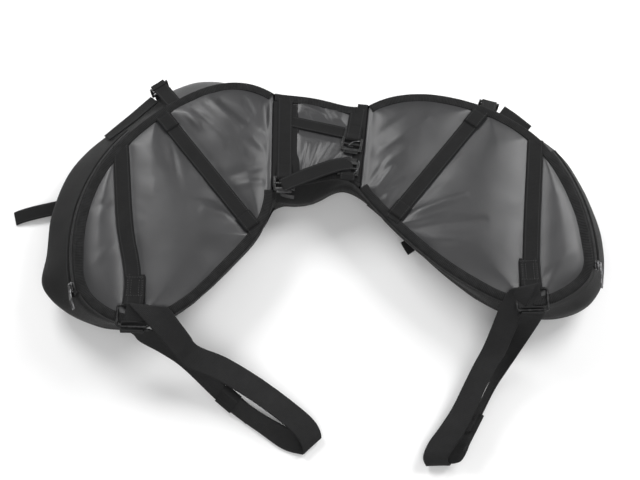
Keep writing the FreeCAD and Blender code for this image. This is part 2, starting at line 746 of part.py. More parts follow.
centre_plate("centre_outer_panel", "base", 0.0, size("base_thick"))
centre_plate("centre_face_panel", "face", FACE - size("panel_thick"), FACE)
centre_plate("centre_stiffener", "face", FACE - size("panel_thick") - size("foam_thick"),
             FACE - size("panel_thick"), size("foam_inset"))
centre_wall("back")
centre_wall("front")
strip = size("binding_width")
feature("centre_back_binding", ruled([
    closed(spline(centre_edge("face", "back"), FACE),
           spline(centre_edge("face", "back", strip), FACE)),
    closed(spline(centre_edge("face", "back"), FACE + size("binding_thick")),
           spline(centre_edge("face", "back", strip), FACE + size("binding_thick"))),
]))

# the anchor straps run from the back binding to a lock at the front edge
left_bar = (-26, 128)
left_seat = flat_frame(left_bar[0], left_bar[1], -90, FACE)
folded_strap("left_anchor_strap", left_seat, "webbing", 132.0, 0.0)
ladder_lock("left_lock", raised(left_seat, size("bar_lift")))
upper_seat = flat_frame(86, 197, -100, FACE)
folded_strap("right_anchor_strap", upper_seat, "webbing", 43.0, 0.0)
ladder_lock("upper_lock", raised(upper_seat, size("bar_lift")))
lower_seat = flat_frame(77, 133, 84, FACE)
folded_strap("front_anchor_strap", lower_seat, "webbing", 6.0, 0.0)
ladder_lock("lower_lock", raised(lower_seat, size("bar_lift")))
flat_strap("cross_strap", (-10, 229), (70, 210), size("narrow_webbing"), FACE)
feature("tether_strap", ribbon(
    [((0, 135, FACE + 1.2), (-0.5, 0.86, 0)), ((9, 140, FACE + 7), (-0.5, 0.86, 0)),
     ((26, 149, FACE + 10), (-0.5, 0.86, 0)), ((43, 158, FACE + 7), (-0.5, 0.86, 0)),
     ((50, 162, FACE + 1.2), (-0.5, 0.86, 0))],
    size("webbing"), size("webbing_thick")))

# ------------------------------------------------------------------- writing
doc.recompute()
for obj in doc.Objects:
    if "Invalid" in obj.State or "Error" in obj.State:
        raise RuntimeError("%s failed: %s" % (obj.Label, obj.State))
labels = [obj.Label for obj in parts]
assert len(set(labels)) == len(labels) and len(labels) <= 60, "labels clash or are too many"
unsound = []
for obj in parts:
    shape = obj.Shape
    if shape.isNull() or not shape.isValid() or shape.Volume <= 0 or len(shape.Solids) != 1:
        unsound.append("%s (%d solids, volume %.0f)" % (obj.Label, len(shape.Solids), shape.Volume))
if unsound:
    raise RuntimeError("not sound: " + ", ".join(unsound))
for obj in parts:
    obj.Shape.exportStep(os.path.join("parts", obj.Label + ".step"))
print(len(parts), "sub-parts written")
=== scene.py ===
"""Looks of a horseshoe motorcycle saddlebag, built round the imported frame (metres, +Z up)."""

import json
import math

import bmesh
import bpy
from mathutils import Matrix, Vector, noise
from mathutils.bvhtree import BVHTree


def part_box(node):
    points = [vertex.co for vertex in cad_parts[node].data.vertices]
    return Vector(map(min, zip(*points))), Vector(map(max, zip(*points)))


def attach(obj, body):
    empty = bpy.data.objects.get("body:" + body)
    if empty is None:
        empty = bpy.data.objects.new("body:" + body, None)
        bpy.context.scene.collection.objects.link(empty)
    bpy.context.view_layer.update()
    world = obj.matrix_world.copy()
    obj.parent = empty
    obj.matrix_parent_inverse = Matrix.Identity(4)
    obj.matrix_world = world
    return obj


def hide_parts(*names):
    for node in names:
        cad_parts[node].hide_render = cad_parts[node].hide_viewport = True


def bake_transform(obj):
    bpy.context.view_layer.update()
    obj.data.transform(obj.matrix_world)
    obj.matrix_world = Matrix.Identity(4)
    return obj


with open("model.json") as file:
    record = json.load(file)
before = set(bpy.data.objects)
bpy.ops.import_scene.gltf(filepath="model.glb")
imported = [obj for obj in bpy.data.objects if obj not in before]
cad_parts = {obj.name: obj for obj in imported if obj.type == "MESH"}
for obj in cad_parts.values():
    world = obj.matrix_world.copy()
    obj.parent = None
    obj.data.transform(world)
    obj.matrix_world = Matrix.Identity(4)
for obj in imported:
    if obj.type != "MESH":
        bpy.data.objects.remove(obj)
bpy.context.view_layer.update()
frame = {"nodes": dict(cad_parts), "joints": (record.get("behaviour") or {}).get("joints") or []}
NODES = frame["nodes"]
MM = 0.001
FACE = 0.092                              # height of the face panels at the folds
LEAN = math.radians(4.86)                 # climb of a stuffed lobe
SLOPE = math.tan(LEAN)
UP = Vector((0, 0, 1))
WEB = 0.025                               # width of the straps' webbing
WEB_THICK = 0.0020
LOOP_WEB = 0.038                          # width of the foot loops' webbing
FOLD_Y = 0.19                             # middle of the saddle, front to back


class Lobe:
    """Where one side bag is: its inner point, its seam and the arc of its zip."""

    def __init__(self, name, side, inner, seam_x, arc_centre, arc_radius, sweep, zip_arc):
        self.name = name
        self.body = name + "_lobe"
        self.side = side
        self.inner = Vector((inner[0], inner[1], 0.0))
        self.seam_x = seam_x
        self.arc_centre = Vector((arc_centre[0], arc_centre[1], 0.0))
        self.arc_radius = arc_radius
        self.sweep = sweep
        self.zip_arc = zip_arc

    def own(self, part):
        """The name of this side's node, piece or body."""
        return self.name + "_" + part

    def plane(self, x):
        """Height of the face panel at x."""
        return FACE + SLOPE * self.side * (x - self.seam_x)

    def normal(self):
        return Vector((-SLOPE * self.side, 0, 1)).normalized()

    def frame(self, x, y):
        """A frame on the face, with its z along the face's normal."""
        tilt = Matrix.Rotation(-self.side * LEAN, 4, "Y")
        return Matrix.Translation((x, y, self.plane(x))) @ tilt


LEFT = Lobe("left", -1, (-0.19, 0.09), -0.045, (-0.076, 0.017), 0.272, (53.5, 366.5), (137, 198.5))
RIGHT = Lobe("right", 1, (0.28, 0.10), 0.104, (0.129, -0.005), 0.321, (136.2, -183.2), (-4.5, 32))
LOBES = (LEFT, RIGHT)


# ---------------------------------------------------------------- node materials
def fill(node, values):
    """Sets a node's inputs by name."""
    for key, value in values.items():
        node.inputs[key].default_value = value


class Net:
    """A node material with a few short ways to add nodes."""

    def __init__(self, name, roughness, metallic=0.0, specular=0.5, coat=0.0, sheen=0.0):
        self.material = bpy.data.materials.new(name)
        self.material.use_nodes = True
        self.tree = self.material.node_tree
        self.shader = self.tree.nodes["Principled BSDF"]
        fill(self.shader, {"Roughness": roughness, "Metallic": metallic, "Specular IOR Level": specular,
                           "Coat Weight": coat, "Sheen Weight": sheen})
        self.place = self.tree.nodes.new("ShaderNodeTexCoord")

    def add(self, kind, inputs=(), **settings):
        node = self.tree.nodes.new(kind)
        for key, value in settings.items():
            setattr(node, key, value)
        for key, value in inputs:
            if hasattr(value, "is_output"):
                self.tree.links.new(value, node.inputs[key])
            else:
                node.inputs[key].default_value = value
        return node

    def math(self, operation, a, b=0.0):
        return self.add("ShaderNodeMath", ((0, a), (1, b)), operation=operation).outputs[0]

    def times(self, a, b):
        return self.math("MULTIPLY", a, b)

    def plus(self, a, b):
        return self.math("ADD", a, b)

    def stitches(self, along, across, place, pitch):
        """1 on the threads of a stitched row that runs along a tape, 0 elsewhere."""
        row = self.math("COMPARE", across, place)
        row.node.inputs[2].default_value = 0.6 * MM      # half width of the thread
        return self.times(row, self.math("GREATER_THAN", self.waves(along, pitch), 0.42))

    def noise(self, scale, detail=4.0, rough=0.55):
        inputs = (("Vector", self.place.outputs["Object"]), ("Scale", scale), ("Detail", detail),
                  ("Roughness", rough))
        return self.add("ShaderNodeTexNoise", inputs).outputs["Fac"]

    def axes(self, where):
        return self.add("ShaderNodeSeparateXYZ", ((0, self.place.outputs[where]),)).outputs

    def waves(self, value, period):
        """A sine from 0 to 1 along a coordinate."""
        turned = self.times(value, 2 * math.pi / period)
        return self.plus(self.times(self.math("SINE", turned), 0.5), 0.5)

    def mix(self, factor, dark, light):
        node = self.add("ShaderNodeMix", ((0, factor),), data_type="RGBA")
        for socket, colour in ((6, dark), (7, light)):
            if hasattr(colour, "is_output"):
                self.tree.links.new(colour, node.inputs[socket])
            else:
                node.inputs[socket].default_value = (*colour, 1.0)
        return node.outputs[2]

    def spread(self, value, low, high):
        inputs = (("Value", value), ("From Min", low), ("From Max", high))
        return self.add("ShaderNodeMapRange", inputs).outputs[0]

    def finish(self, colour, height, depth, roughness=None):
        self.tree.links.new(colour, self.shader.inputs["Base Color"])
        if roughness is not None:
            self.tree.links.new(roughness, self.shader.inputs["Roughness"])
        bump = self.add("ShaderNodeBump", (("Height", height), ("Distance", depth), ("Strength", 1.0)))
        self.tree.links.new(bump.outputs[0], self.shader.inputs["Normal"])
        return self.material


def grey(value, tint=0.02):
    return (value, value, value * (1 + tint))


def coated_fabric():
    """Satin urethane-coated cloth: a fine grid under the coat, scuffs and soft blotches."""
    net = Net("coated_fabric", 0.38, specular=0.56, coat=0.05)
    fill(net.shader, {"Coat Roughness": 0.42})
    x, y = net.axes("Object")[:2]
    grid = net.times(net.waves(x, 1.5 * MM), net.waves(y, 1.5 * MM))
    blotch = net.noise(9.0, 3.0)
    grain = net.noise(420.0, 3.0)
    scuff = net.spread(net.noise(46.0, 8.0, rough=0.75), 0.56, 0.74)
    base = net.mix(net.spread(blotch, 0.3, 0.7), grey(0.017, 0.06), grey(0.024, 0.06))
    colour = net.mix(net.times(scuff, 0.2), base, grey(0.045, 0.03))
    height = net.plus(net.times(grid, 0.5), net.times(grain, 0.5))
    rough = net.plus(net.times(blotch, 0.10), 0.35)
    return net.finish(colour, height, 0.00016, rough)


def wall_nylon():
    """Black packcloth: a tight plain weave, dusty in its folds."""
    net = Net("wall_nylon", 0.62, specular=0.22, sheen=0.02)
    fill(net.shader, {"Sheen Roughness": 0.45})
    x, y, z = net.axes("Object")
    weave = net.times(net.waves(net.plus(x, y), 1.3 * MM), net.waves(z, 1.1 * MM))
    dust = net.spread(net.noise(30.0, 6.0, rough=0.7), 0.45, 0.75)
    colour = net.mix(dust, grey(0.004), grey(0.008))
    height = net.plus(net.times(weave, 0.6), net.times(net.noise(160.0), 0.5))
    return net.finish(colour, height, 0.0003)


def webbing(name, rib, dark, light, edge_stitch):
    """Woven tape: ribs along it, crossing yarns, fuzz and a row of stitches near each edge."""
    net = Net(name, 0.8, specular=0.16, sheen=0.02)
    u, v = net.axes("UV")[:2]
    ribs = net.waves(v, rib)
    yarns = net.waves(u, 1.3 * rib)
    twill = net.waves(net.plus(u, v), 1.05 * rib)
    fuzz = net.noise(900.0, 2.0)
    height = net.plus(net.times(ribs, 0.55), net.times(yarns, 0.3))
    height = net.plus(height, net.times(twill, 0.25))
    wear = net.spread(net.noise(38.0, 5.0, rough=0.7), 0.4, 0.75)
    # the colour follows the weave's height: lighter on the raised ribs and yarns, darker in the grooves
    # between them (painted shade), mixed with real wear
    painted_rib_shade_and_wear = net.plus(net.times(height, 0.55), net.times(wear, 0.4))
    colour = net.mix(net.times(net.plus(painted_rib_shade_and_wear, fuzz), 0.6), dark, light)
    if edge_stitch:
        thread = net.stitches(u, net.math("ABSOLUTE", v), edge_stitch, 3.4 * MM)
        colour = net.mix(net.times(thread, 0.6), colour, grey(0.040))
        height = net.plus(height, net.times(thread, 0.9))
    return net.finish(colour, height, 0.00042)


def ribbed_tape():
    """Grosgrain binding: ribs across the tape."""
    net = Net("binding_tape", 0.8, specular=0.16, sheen=0.02)
    u, v = net.axes("UV")[:2]
    ribs = net.waves(u, 2.6 * MM)
    wear = net.spread(net.noise(60.0, 5.0, rough=0.7), 0.4, 0.75)
    thread = net.stitches(u, v, 3.0 * MM, 3.6 * MM)
    # the colour follows the ribs: lighter on their tops, darker in the grooves between them (painted shade),
    # mixed with real wear
    painted_rib_shade_and_wear = net.plus(net.times(ribs, 0.5), net.times(wear, 0.5))
    colour = net.mix(painted_rib_shade_and_wear, grey(0.005), grey(0.022))
    colour = net.mix(net.times(thread, 0.5), colour, grey(0.035))
    height = net.plus(ribs, net.times(thread, 0.8))
    return net.finish(colour, height, 0.0005)


def moulded(name, dark, light, roughness):
    """Moulded plastic with a fine spark-eroded grain and handling marks."""
    net = Net(name, roughness, specular=0.5)
    marks = net.spread(net.noise(120.0, 6.0, rough=0.75), 0.45, 0.75)
    colour = net.mix(marks, grey(dark), grey(light))
    rough = net.plus(net.times(marks, 0.15), roughness)
    return net.finish(colour, net.noise(1400.0, 2.0), 0.00008, rough)


def worn_metal(name, dark, light, roughness, metallic):
    """Plated wire or die-cast zinc with fine scratches and rubbed high spots."""
    net = Net(name, roughness, metallic=metallic)
    stretched = net.add("ShaderNodeMapping", (("Vector", net.place.outputs["Object"]),
                                              ("Scale", (1.0, 9.0, 1.0))))
    scratch = net.add("ShaderNodeTexNoise", (("Vector", stretched.outputs[0]), ("Scale", 240.0),
                                             ("Detail", 6.0))).outputs["Fac"]
    rub = net.spread(net.noise(150.0, 4.0), 0.42, 0.7)
    colour = net.mix(rub, grey(dark), grey(light))
    rough = net.plus(net.times(scratch, 0.2), roughness)
    return net.finish(colour, scratch, 0.00006, rough)


M = {
    "coated": coated_fabric(),
    "wall": wall_nylon(),
    "strap": webbing("strap_webbing", 1.7 * MM, grey(0.004), grey(0.015), 9.6 * MM),
    "narrow": webbing("narrow_webbing", 1.6 * MM, grey(0.004), grey(0.015), 7.4 * MM),
    "loop": webbing("loop_webbing", 2.0 * MM, grey(0.007), grey(0.024), 0.0),
    "tape": ribbed_tape(),
    "lock": moulded("moulded_lock", 0.008, 0.02, 0.3),
    "coil": moulded("zip_coil", 0.018, 0.045, 0.42),
    "wire": worn_metal("ring_wire", 0.010, 0.045, 0.34, 0.75),
    "metal": worn_metal("zip_metal", 0.06, 0.30, 0.34, 1.0),
    "thread": moulded("sewing_thread", 0.03, 0.06, 0.6),
}


# ------------------------------------------------------------------ mesh helpers
def spaced(start, end, count):
    """count + 1 values from start to end."""
    return [start + (end - start) * k / count for k in range(count + 1)]


def piece(name, verts, faces, look, body=None, uvs=None, smooth=True, replaces=()):
    """A mesh object with its material, body and the CAD nodes it stands for."""
    mesh = bpy.data.meshes.new(name)
    mesh.from_pydata([tuple(v) for v in verts], [], faces)
    if uvs:
        layer = mesh.uv_layers.new(name="UVMap")
        for loop in mesh.loops:
            layer.data[loop.index].uv = uvs[loop.vertex_index]
    obj = bpy.data.objects.new(name, mesh)
    bpy.context.scene.collection.objects.link(obj)
    mesh.materials.append(M[look])
    for polygon in mesh.polygons:
        polygon.use_smooth = smooth
    if body:
        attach(obj, body)
    if replaces:
        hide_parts(*replaces)
    return obj


def outwards(obj):
    """Faces of a closed mesh turned to point out."""
    work = bmesh.new()
    work.from_mesh(obj.data)
    bmesh.ops.recalc_face_normals(work, faces=work.faces)
    work.to_mesh(obj.data)
    work.free()
    return obj


def subdivide(obj):
    """One level of Catmull-Clark subdivision, applied."""
    modifier = obj.modifiers.new("Subsurf", "SUBSURF")
    modifier.levels = 1
    modifier.render_levels = 1
    graph = bpy.context.evaluated_depsgraph_get()
    mesh = bpy.data.meshes.new_from_object(obj.evaluated_get(graph))
    obj.modifiers.remove(modifier)
    obj.data = mesh


def bearing(degrees, rise=0.0):
    """A direction at an angle in plan, climbing by rise along x."""
    turn = math.radians(degrees)
    return Vector((math.cos(turn), math.sin(turn), rise * math.cos(turn))).normalized()


def runs(points):
    """The direction of a line of points at each of them."""
    last = len(points) - 1
    return [(points[min(k + 1, last)] - points[max(k - 1, 0)]).normalized() for k in range(last + 1)]


def catmull(points, t):
    """A point on the Catmull-Rom curve through points; t counts points."""
    count = len(points)
    index = min(max(math.floor(t), 0), count - 2)
    share = t - index

    def at(k):
        if k < 0:
            return points[0] * 2 - points[1]
        if k >= count:
            return points[-1] * 2 - points[-2]
        return points[k]

    a, b, c, d = at(index - 1), at(index), at(index + 1), at(index + 2)
    return 0.5 * ((2 * b) + (c - a) * share + (2 * a - 5 * b + 4 * c - d) * share ** 2
                  + (3 * b - a - 3 * c + d) * share ** 3)


def tape_section(width, thickness):
    """(across, up) points round a flat tape whose edges are a little thicker and rounded."""
    half = width / 2
    t = thickness / 2
    top = [(-half, 0.0), (-half + 0.4 * t, 0.9 * t), (-half + 2.2 * t, 1.08 * t), (-0.5 * half, 0.92 * t),
           (0.0, 0.88 * t), (0.5 * half, 0.92 * t), (half - 2.2 * t, 1.08 * t), (half - 0.4 * t, 0.9 * t),
           (half, 0.0)]
    return top + [(a, -b) for a, b in reversed(top[1:-1])]


def swept_faces(rows, n, base=0):
    """Faces of a closed form made of rows of n points each, with its two ends."""
    faces = []
    for k in range(rows - 1):
        for j in range(n):
            a, b = base + k * n + j, base + k * n + (j + 1) % n
            faces.append((a, b, b + n, a + n))
    faces.append(tuple(range(base, base + n))[::-1])
    faces.append(tuple(base + (rows - 1) * n + j for j in range(n)))
    return faces


def ribbon(name, stations, width, thickness, look, body=None, step=0.004, replaces=(),
           section=None, ripple=0.0, shift=0.0, skew=False):
    """Webbing along a smooth path. A station is (centre, direction of its width), or with skew,
    where the webbing is folded aslant, (centre, half its width along the fold)."""
    centres = [Vector(s[0]) for s in stations]
    acrosses = [Vector(s[1]) if skew else Vector(s[1]).normalized() for s in stations]
    total = sum((b - a).length for a, b in zip(centres, centres[1:]))
    spans = len(centres) - 1
    count = max(int(total / step), 4 * spans)
    rows = []
    for k in range(count + 1):
        t = spans * k / count
        here = catmull(centres, t)
        run = (catmull(centres, min(t + 0.02, spans)) - catmull(centres, max(t - 0.02, 0))).normalized()
        across = catmull(acrosses, t)
        if skew:
            rows.append((here, across * (2 / width), across.cross(run).normalized()))
        else:
            across = (across - run * across.dot(run)).normalized()
            rows.append((here, across, across.cross(run)))
    profile = section or tape_section(width, thickness)
    verts, uvs = [], []
    length = 0.0
    for k, (here, across, up) in enumerate(rows):
        if k:
            length += (here - rows[k - 1][0]).length
        wave = ripple * noise.noise(Vector((length * 22.0 + shift, shift, 0.3)))
        for a, b in profile:
            curl = ripple * 0.6 * noise.noise(Vector((length * 15.0, a * 40.0 + shift, 2.7)))
            verts.append(here + across * a + up * (b + wave + curl))
            uvs.append((length, a))
    faces = swept_faces(len(rows), len(profile))
    return outwards(piece(name, verts, faces, look, body, uvs, replaces=replaces))


def in_mm(table):
    """Stations of a ribbon from a table whose centres are in millimetres."""
    return [(Vector(centre) * MM, Vector(across)) for centre, across in table]


def tube(name, points, radius, look, body, sides=8, step=0.004):
    """Wire or piping along a smooth path."""
    section = [(radius * math.cos(2 * math.pi * k / sides), radius * math.sin(2 * math.pi * k / sides))
               for k in range(sides)]
    stations = []
    for point, run in zip(points, runs(points)):
        side = run.cross(UP)
        if side.length < 0.1:
            side = run.cross(Vector((1, 0, 0)))
        stations.append((point, side.normalized()))
    return ribbon(name, stations, radius, radius, look, body, step, section=section)


def rounded_boxes(name, boxes, look, body, place, bevel, replaces):
    """Bevelled blocks in one mesh: (low corner, high corner) in millimetres, and any spin about X."""
    work = bmesh.new()
    for low, high, *spin in boxes:
        low, high = Vector(low) * MM, Vector(high) * MM
        made = bmesh.ops.create_cube(work, size=1.0)["verts"]
        turn = (Matrix.Translation((low + high) / 2) @ Matrix.Rotation(sum(spin), 4, "X")
                @ Matrix.Diagonal((*(high - low), 1.0)))
        bmesh.ops.transform(work, matrix=turn, verts=made)
    bmesh.ops.bevel(work, geom=list(work.edges), offset=bevel, segments=2, affect="EDGES",
                    profile=0.6, clamp_overlap=True)
    work.transform(place)
    verts = [v.co.copy() for v in work.verts]
    work.verts.index_update()
    faces = [tuple(v.index for v in f.verts) for f in work.faces]
    work.free()
    return piece(name, verts, faces, look, body, replaces=replaces)


def placed(x, y, z, origin):
    """A matrix with three axes and an origin."""
    turn = Matrix((x, y, z)).transposed().to_4x4()
    turn.translation = origin
    return turn


# ------------------------------------------------------------- reading the frame
def tree_of(*names):
    """A search tree of some CAD nodes."""
    verts, polygons = [], []
    for name in names:
        mesh = NODES[name].data
        start = len(verts)
        verts += [v.co.copy() for v in mesh.vertices]
        polygons += [[start + i for i in p.vertices] for p in mesh.polygons]
    return BVHTree.FromPolygons(verts, polygons)


def outer_hit(tree, origin, direction, reach=0.55):
    """The outermost point of the solids, seen from outside along a direction from origin."""
    return tree.ray_cast(origin + direction * reach, -direction, reach)[0]


def face_edge(lobe):
    """Points of the face panel's edge, one per degree, in its own slanted plane."""
    tree = tree_of(lobe.own("face_panel"))
    origin = Vector((lobe.inner.x, lobe.inner.y, lobe.plane(lobe.inner.x) - 0.002))
    found = []
    for degree in range(360):
        hit = outer_hit(tree, origin, bearing(degree, SLOPE * lobe.side))
        found.append(Vector((hit.x, hit.y, 0.0)))
    return found


EDGES = {lobe.name: face_edge(lobe) for lobe in LOBES}
SADDLE_TREE = tree_of("centre_face_panel")


def edge_at(lobe, degrees):
    """A point of the face's edge in plan at an angle about the lobe's inner point."""
    points = EDGES[lobe.name]
    low = math.floor(degrees)
    share = degrees - low
    return points[low % 360].lerp(points[(low + 1) % 360], share)


# -------------------------------------------------------------------- face skins
STRAPS = {
    "left_long": ((-0.291, 0.176), (-0.275, 0.043), (-0.260, -0.026), (-0.252, -0.084)),
    "right_long": ((0.383, 0.196), (0.366, 0.051), (0.360, -0.007), (0.355, -0.059)),
    "left_diagonal": ((-0.236, 0.244), (-0.062, 0.026)),
    "right_diagonal": ((0.309, 0.254), (0.144, 0.051)),
}
# soft folds, in millimetres: (start, end, height, half width)
FOLDS = {
    "left": [
        ((-150, 262), (-66, 183), 3.4, 9), ((-132, 262), (-58, 205), -3.6, 9),
        ((-172, 246), (-90, 160), -2.8, 10), ((-190, 238), (-165, 212), 2.6, 5),
        ((-180, 246), (-150, 222), -2.0, 4), ((-64, 262), (-52, 215), 2.6, 8),
        ((-95, 270), (-70, 225), -2.2, 7), ((-222, 214), (-196, 118), -2.8, 11),
        ((-205, 226), (-175, 140), 2.0, 10), ((-150, 70), (-82, 52), 2.4, 10),
        ((-170, 92), (-102, 82), -2.4, 12), ((-330, 60), (-290, 84), -1.4, 9),
        ((-110, 130), (-55, 150), -2.4, 9), ((-100, 112), (-50, 122), 1.8, 8),
        ((-318, -30), (-285, 10), 1.3, 9), ((-240, 160), (-232, 60), 1.2, 12),
    ],
    "right": [
        ((168, 60), (262, 90), 3.0, 9), ((172, 40), (290, 46), -3.4, 11), ((172, 82), (232, 122), -2.2, 9),
        ((190, 20), (262, 12), 2.0, 10), ((126, 170), (206, 226), 2.4, 10),
        ((122, 196), (190, 250), -1.6, 10), ((116, 100), (150, 142), 2.4, 5),
        ((112, 116), (140, 160), -2.4, 5), ((128, 92), (166, 122), -2.2, 5),
        ((124, 140), (176, 176), 1.8, 8), ((330, 180), (250, 150), 1.0, 14),
        ((380, -40), (420, -10), 1.2, 8), ((372, -52), (392, -30), -1.4, 6),
        ((300, 0), (330, 60), -1.0, 14),
    ],
    "centre": [
        ((0, 118), (12, 188), 3.4, 4), ((6, 120), (30, 190), -2.6, 5), ((10, 122), (52, 192), 3.2, 7),
        ((20, 126), (62, 172), -3.4, 5), ((28, 128), (72, 170), 2.2, 5), ((-4, 120), (-2, 170), -2.0, 4),
        ((0, 262), (40, 244), 2.0, 6), ((36, 256), (50, 232), -2.0, 5), ((56, 250), (70, 226), 1.6, 5),
        ((10, 250), (20, 232), -1.6, 4),
    ],
}


def segment_distance(p, a, b):
    """Distance from p to segment ab in plan, and how far along the nearest point is (0 to 1)."""
    run = (b[0] - a[0], b[1] - a[1])
    share = ((p[0] - a[0]) * run[0] + (p[1] - a[1]) * run[1]) / (run[0] ** 2 + run[1] ** 2)
    share = min(max(share, 0.0), 1.0)
    return math.hypot(p[0] - a[0] - share * run[0], p[1] - a[1] - share * run[1]), share


def strap_distance(lobe_name, p):
    """Distance from p to the nearest strap's edge on this lobe."""
    best = 1.0
    for kind in ("_long", "_diagonal"):
        points = STRAPS[lobe_name + kind]
        for a, b in zip(points, points[1:]):
            best = min(best, segment_distance(p, a, b)[0] - 0.0130)
    return max(best, 0.0)


def folds_at(which, p):
    """Height of the soft folds at p, added up."""
    total = 0.0
    for a, b, height, half in FOLDS[which]:
        distance, share = segment_distance((p[0] / MM, p[1] / MM), a, b)
        if distance < 3 * half:
            taper = math.sin(math.pi * (0.12 + 0.76 * share)) ** 0.8
            total += 0.85 * height * MM * taper * math.exp(-(distance / (0.75 * half)) ** 2)
    return total


def disc(a, b):
    """Maps the square from -1 to 1 on a disc: share of the radius, angle in degrees."""
    if a == 0 and b == 0:
        return 0.0, 0.0
    if abs(a) > abs(b):
        return abs(a), 45 * (b / a) + (180 if a < 0 else 0)
    return abs(b), 90 - 45 * (a / b) + (180 if b < 0 else 0)


# light packcloth, held where its weight is 1 and blown up a little
CLOTH = {"quality": 6, "mass": 0.25, "tension_stiffness": 18, "compression_stiffness": 14,
         "shear_stiffness": 6, "bending_stiffness": 1.2, "vertex_group_mass": "held",
         "pin_stiffness": 1.0, "use_pressure": True, "uniform_pressure_force": 1.2}


def simulate(obj, pinned):
    """Blows held cloth up gently for a few frames, then applies the result."""
    frames, furthest = 12, 0.005
    group = obj.vertex_groups.new(name="held")
    for index, weight in enumerate(pinned):
        if weight > 0:
            group.add([index], weight, "REPLACE")
    cloth = obj.modifiers.new("Cloth", "CLOTH")
    for key, value in CLOTH.items():
        setattr(cloth.settings, key, value)
    cloth.settings.effector_weights.gravity = 0.0
    cloth.collision_settings.use_collision = False
    cloth.collision_settings.use_self_collision = False
    cloth.point_cache.frame_start = 1
    cloth.point_cache.frame_end = frames
    scene = bpy.context.scene
    before = [v.co.copy() for v in obj.data.vertices]
    for number in range(1, frames + 1):
        scene.frame_set(number)
    graph = bpy.context.evaluated_depsgraph_get()
    moved = obj.evaluated_get(graph).data
    for index, vertex in enumerate(moved.vertices):
        step = vertex.co - before[index]
        if step.length > furthest:
            step = step.normalized() * furthest
        obj.data.vertices[index].co = before[index] + step
    obj.modifiers.remove(cloth)
    obj.vertex_groups.remove(group)
    scene.frame_set(1)


def grid_faces(n, m):
    """Faces of a grid of n by m squares."""
    corners = [i * (m + 1) + j for i in range(n) for j in range(m)]
    return [(a, a + m + 1, a + m + 2, a + 1) for a in corners]


def face_skin(lobe, crown):
    """The padded grey panel of one lobe, crowned between its edge and the straps on it."""
    n = 92
    verts, held = [], []
    for i in range(n + 1):
        for j in range(n + 1):
            share, degrees = disc(2 * i / n - 1, 2 * j / n - 1)
            edge = edge_at(lobe, degrees % 360)
            x = lobe.inner.x + (edge.x - lobe.inner.x) * share
            y = lobe.inner.y + (edge.y - lobe.inner.y) * share
            inside = (edge - Vector((x, y, 0))).length - 0.010
            gap = min(max(inside, 0.0), strap_distance(lobe.name, (x, y)))
            puff = 1 - math.exp(-gap / 0.017)
            lift = crown * puff + folds_at(lobe.name, (x, y)) * min(1.0, gap / 0.008)
            lift += 0.0011 * puff * noise.noise(Vector((x * 26, y * 26, 1.0)))
            drop = 0.0006 if share < 0.985 else 0.003
            verts.append(Vector((x, y, lobe.plane(x))) + lobe.normal() * (lift - drop))
            held.append(1.0 if gap <= 0.0005 else 0.0)
    skin = piece(lobe.own("face_skin"), verts, grid_faces(n, n), "coated", lobe.body,
                 replaces=(lobe.own("face_panel"), lobe.own("stiffener")))
    simulate(skin, held)
    subdivide(skin)


def right_seam(y):
    """Where the slanted right seam is at y."""
    return 0.096 + 0.016 * (y - 0.113) / 0.145


def saddle_edge(x, way):
    """Where the edge of the saddle's top is at x, at the back (1) or the front (-1)."""
    probe = min(max(x, -0.0415), 0.0925)
    return outer_hit(SADDLE_TREE, Vector((probe, FOLD_Y, 0.090)), Vector((0, way, 0))).y


SADDLE_LEFT = -0.0440    # left edge of the saddle's cloth
# webbing that holds the saddle's cloth flat: (start, end, half width)
SADDLE_WEBS = (((-0.026, 0.13), (-0.026, 0.26), 0.0135), ((0.090, 0.197), (0.094, 0.24), 0.0135),
               ((-0.012, 0.229), (0.07, 0.210), 0.0105))


def centre_skin():
    """The short saddle between the lobes: thin coated cloth with wrinkles that fan out."""
    n, m = 64, 72
    verts = []
    for i in range(n + 1):
        share = i / n
        x0 = -0.0425 + share * (0.0990 + 0.0425)
        back, front = saddle_edge(x0, 1), saddle_edge(x0, -1)
        for j in range(m + 1):
            y = front + (back - front) * j / m
            x = SADDLE_LEFT + share * (right_seam(y) - 0.0005 - SADDLE_LEFT)
            edge = min(y - front, back - y, x - SADDLE_LEFT, right_seam(y) - x)
            puff = 1 - math.exp(-max(edge - 0.002, 0.0) / 0.016)
            flat = 1.0
            for a, b, half in SADDLE_WEBS:
                gap = segment_distance((x, y), a, b)[0] - half
                flat = min(flat, max(gap, 0.0) / 0.012)
            lift = (0.0035 * puff + folds_at("centre", (x, y)) * min(1, edge / 0.006)) * min(flat, 1.0)
            verts.append(Vector((x, y, FACE + lift - (0.0006 if edge > 0.0015 else 0.0028))))
    skin = piece("centre_face_skin", verts, grid_faces(n, m), "coated", "centre",
                 replaces=("centre_face_panel", "centre_stiffener"))
    subdivide(skin)


# --------------------------------------------------------------------- the walls
MIDDLE = 0.020    # where the left and right halves of the shell meet
HEIGHTS = (0.0012, 0.0048, 0.018, 0.032, 0.046, 0.056, 0.066)


def wall_columns(lobe):
    """Columns of (points from the floor to the face's edge, outward direction), round one half."""
    centre_tree = tree_of("centre_back_wall", "centre_front_wall", "centre_outer_panel", "centre_face_panel")
    lobe_tree = tree_of(lobe.own("gusset"), lobe.own("outer_panel"), lobe.own("face_panel"))

    def column_at(tree, origin, direction, top):
        heights = HEIGHTS + top
        return [outer_hit(tree, origin + UP * z, direction) for z in heights], direction

    def centre_side(way):
        edge = -0.0385 if lobe.side < 0 else 0.0915
        return [column_at(centre_tree, Vector((x, 0.195, 0)), Vector((0, way, 0)), (0.076, 0.085, 0.0905))
                for x in spaced(MIDDLE, edge, 12)]

    columns = centre_side(1)
    for degrees in spaced(*lobe.sweep, 250):
        top = lobe.plane(edge_at(lobe, degrees % 360).x)
        columns.append(column_at(lobe_tree, lobe.inner, bearing(degrees),
                                 (top - 0.020, top - 0.012, top - 0.0015)))
    return columns + centre_side(-1)[::-1]


